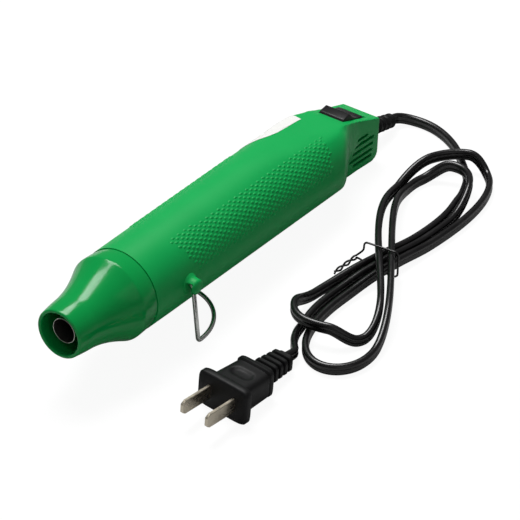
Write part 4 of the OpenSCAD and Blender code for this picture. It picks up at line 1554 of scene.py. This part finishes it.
@dataclass
class Stand:
    """The folding wire stand."""

    finish: Finishes
    wire: float = 1.9
    foot_radius: float = 23.9
    foot_ahead: float = 1.12
    heel_behind: float = 1.7
    hub_out: float = 20.55
    bend: float = 2.0

    def build(self) -> list[Obj]:
        """Sweeps the round wire along the bail's line.

        Returns:
            The stand's wire.
        """
        r, reach = self.wire / 2, self.foot_radius
        x, _, z = tool_point(STAND_S, 0, 0)
        heel, hub = np.array([x - self.heel_behind, reach, r]), np.array([x, self.hub_out, z])
        foot = x + self.foot_ahead
        leg = unit(hub - heel)

        def corner(p: np.ndarray, a: Point, b: Point) -> list[np.ndarray]:
            """Returns the bend at p from direction a to direction b."""
            return [
                p + self.bend * (u * u * np.array(b) - (1 - u) ** 2 * np.array(a))
                for u in np.linspace(0, 1, 9)
            ]

        half = [
            *(
                np.array([foot + reach * math.cos(a), reach * math.sin(a), r])
                for a in np.linspace(0, math.pi / 2, 33)
            ),
            heel + np.array([2.3, 0, 0]), *corner(heel, (-1.0, 0, 0), leg),
            *(heel + k * leg for k in (6, 12, 18)),
            *corner(hub, leg, (0, -1.0, 0)), *(np.array([x, y, z]) for y in (17.6, 15.3)),
        ]
        other = [p * (1, -1, 1) for p in half[:0:-1]]
        wire = sweep("stand_wire", np.array(other + half), round_outline(r * 0.998, 24), False)
        dress(wire, self.finish.wire)
        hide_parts("stand_bail")
        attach(wire, "stand")
        return [wire]


@dataclass
class TailFittings:
    """The rocker and the ribbed strain relief at the tail."""

    finish: Finishes
    handle: Handle
    cord: CordAndPlug
    tilt: float = 11.0
    pivot: float = -4.0
    opening_mid: float = 13.4
    half_width: float = 6.5
    end_radius: float = 10.13
    bevel: float = 0.35

    # The relief's flange inside the handle: distance from the tail, radius.
    ROOT = ((-4, 1.6), (-4, 5.2), (-2.3, 5.2), (-2.3, 4.1), (0.1, 4.1), (0.15, 4.5), (0.4, 4.6), (1.3, 4.6),
            (1.6, 4.3), (1.6, 1.6))

    def rocker(self) -> Obj:
        """Makes the rocker with softened edges, nose end up.

        Returns:
            The rocker.
        """
        base = self.handle.facet_matrix() @ tilted(self.tilt, self.opening_mid, self.pivot)
        dip = [(0.0, 4.88), (1.5, 4.96), (3.0, 5.2), (4.4, 5.6), (5.9, 6.03)]
        outline = [(-x, z) for x, z in dip[:0:-1]] + dip
        for first, last in ((18.4, -8.0), (188.0, 161.6)):
            outline += [polar(self.end_radius, a) for a in np.linspace(first, last, 9)]
        rings = [[put(base, x, y, z) for x, z in outline] for y in (-self.half_width, self.half_width)]
        cap = loft("rocker_cap", rings, 20)
        soft = cap.modifiers.new("edge", "BEVEL")
        soft.width = self.bevel * MM
        soft.segments = 3
        soft.limit_method = "ANGLE"
        soft.angle_limit = math.radians(28)
        settled(cap)
        pins = lathe("stubs", [(-7.2, 0.0), (-7.2, 1.3), (7.2, 1.3), (7.2, 0.0)],
                     frame_along(base[:3, 3], (0, 1, 0), (1, 0, 0)), False, 40)
        whole = join("rocker_cap", [cap, pins])
        shade(whole, 40)
        return dress(whole, self.finish.black)

    def relief(self) -> Obj:
        """Makes the ribbed boot and its inner flange.

        Returns:
            The relief.
        """
        root = frame_along(tool_point(TOOL_LENGTH, 0, CORD_Z), TOOL_AXIS)
        inner = lathe("boot_root", self.ROOT, root, True, 64)
        profile: list[Pair] = [(0.8, 1.5), (0.8, 3.1)]
        for k in range(5):
            a, r = 4.4 + 3.6 * k, 4.1 - 0.12 * k
            profile += [(a - 0.25, 3.1), (a, 3.3), (a + 0.08, r - 0.25), (a + 0.3, r), (a + 1.2, r),
                        (a + 1.42, r - 0.25), (a + 1.5, 3.3), (a + 1.75, 3.05)]
        cord = self.cord
        end = cord.relief_length
        profile += [
            (end - 1.7, 3.0), (end - 1.4, 3.4), (end - 1.1, 3.5), (end - 0.3, 3.5), (end, 3.2), (end, 1.5),
        ]
        base = frame_along(cord.relief_start, cord.direction(cord.relief_tilt, cord.relief_yaw))
        boot = lathe("boot", profile, base, True, 64)
        whole = join("ribbed_relief", [inner, boot])
        shade(whole, 34)
        return dress(whole, self.finish.plug)

    def build(self) -> list[Obj]:
        """Makes both fittings.

        Returns:
            The rocker and the relief.
        """
        rocker, relief = self.rocker(), self.relief()
        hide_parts("switch_rocker")
        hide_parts("strain_relief")
        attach(rocker, "rocker")
        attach(relief, "tool")
        return [rocker, relief]


def dress_inner_parts(finish: Finishes) -> None:
    """Gives every carried-over part its own material.

    Args:
        finish: the tool's materials.
    """
    looks = {
        finish.screw: ("body_screws", "clamp_screws", "motor_shaft", "motor_can", "armature", "thermal_fuse"),
        finish.mica: ("mica_sleeve", "heater_former"),
        finish.tube: ("heating_coil",),
        finish.ceramic: ("element_plate",),
        finish.copper: ("heater_leads", "commutator", "mains_leads", "capacitor"),
        finish.nylon: ("fan_impeller", "motor_cap", "cord_clamp"),
        finish.dull_black: ("motor_magnets", "motor_cradle", "rectifier_diodes", "switch_body"),
        finish.board: ("circuit_board",),
        finish.blade: ("switch_terminals",),
        finish.cord: ("cord_inner",),
    }
    for material, names in looks.items():
        for name in names:
            dress(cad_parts[name], material)


def main() -> None:
    """Builds the studio and every piece of the tool in order."""
    logging.basicConfig(level=logging.INFO, format="%(name)s: %(message)s")
    Studio().build()
    finish = Finishes()
    cord, handle = CordAndPlug(finish), Handle(finish)
    for part in (cord, handle, Nozzle(finish), Stand(finish), TailFittings(finish, handle, cord)):
        for piece in part.build():
            LOG.info("%s: %d faces", piece.name, len(piece.data.polygons))
    dress_inner_parts(finish)


if __name__ == "__main__":
    main()
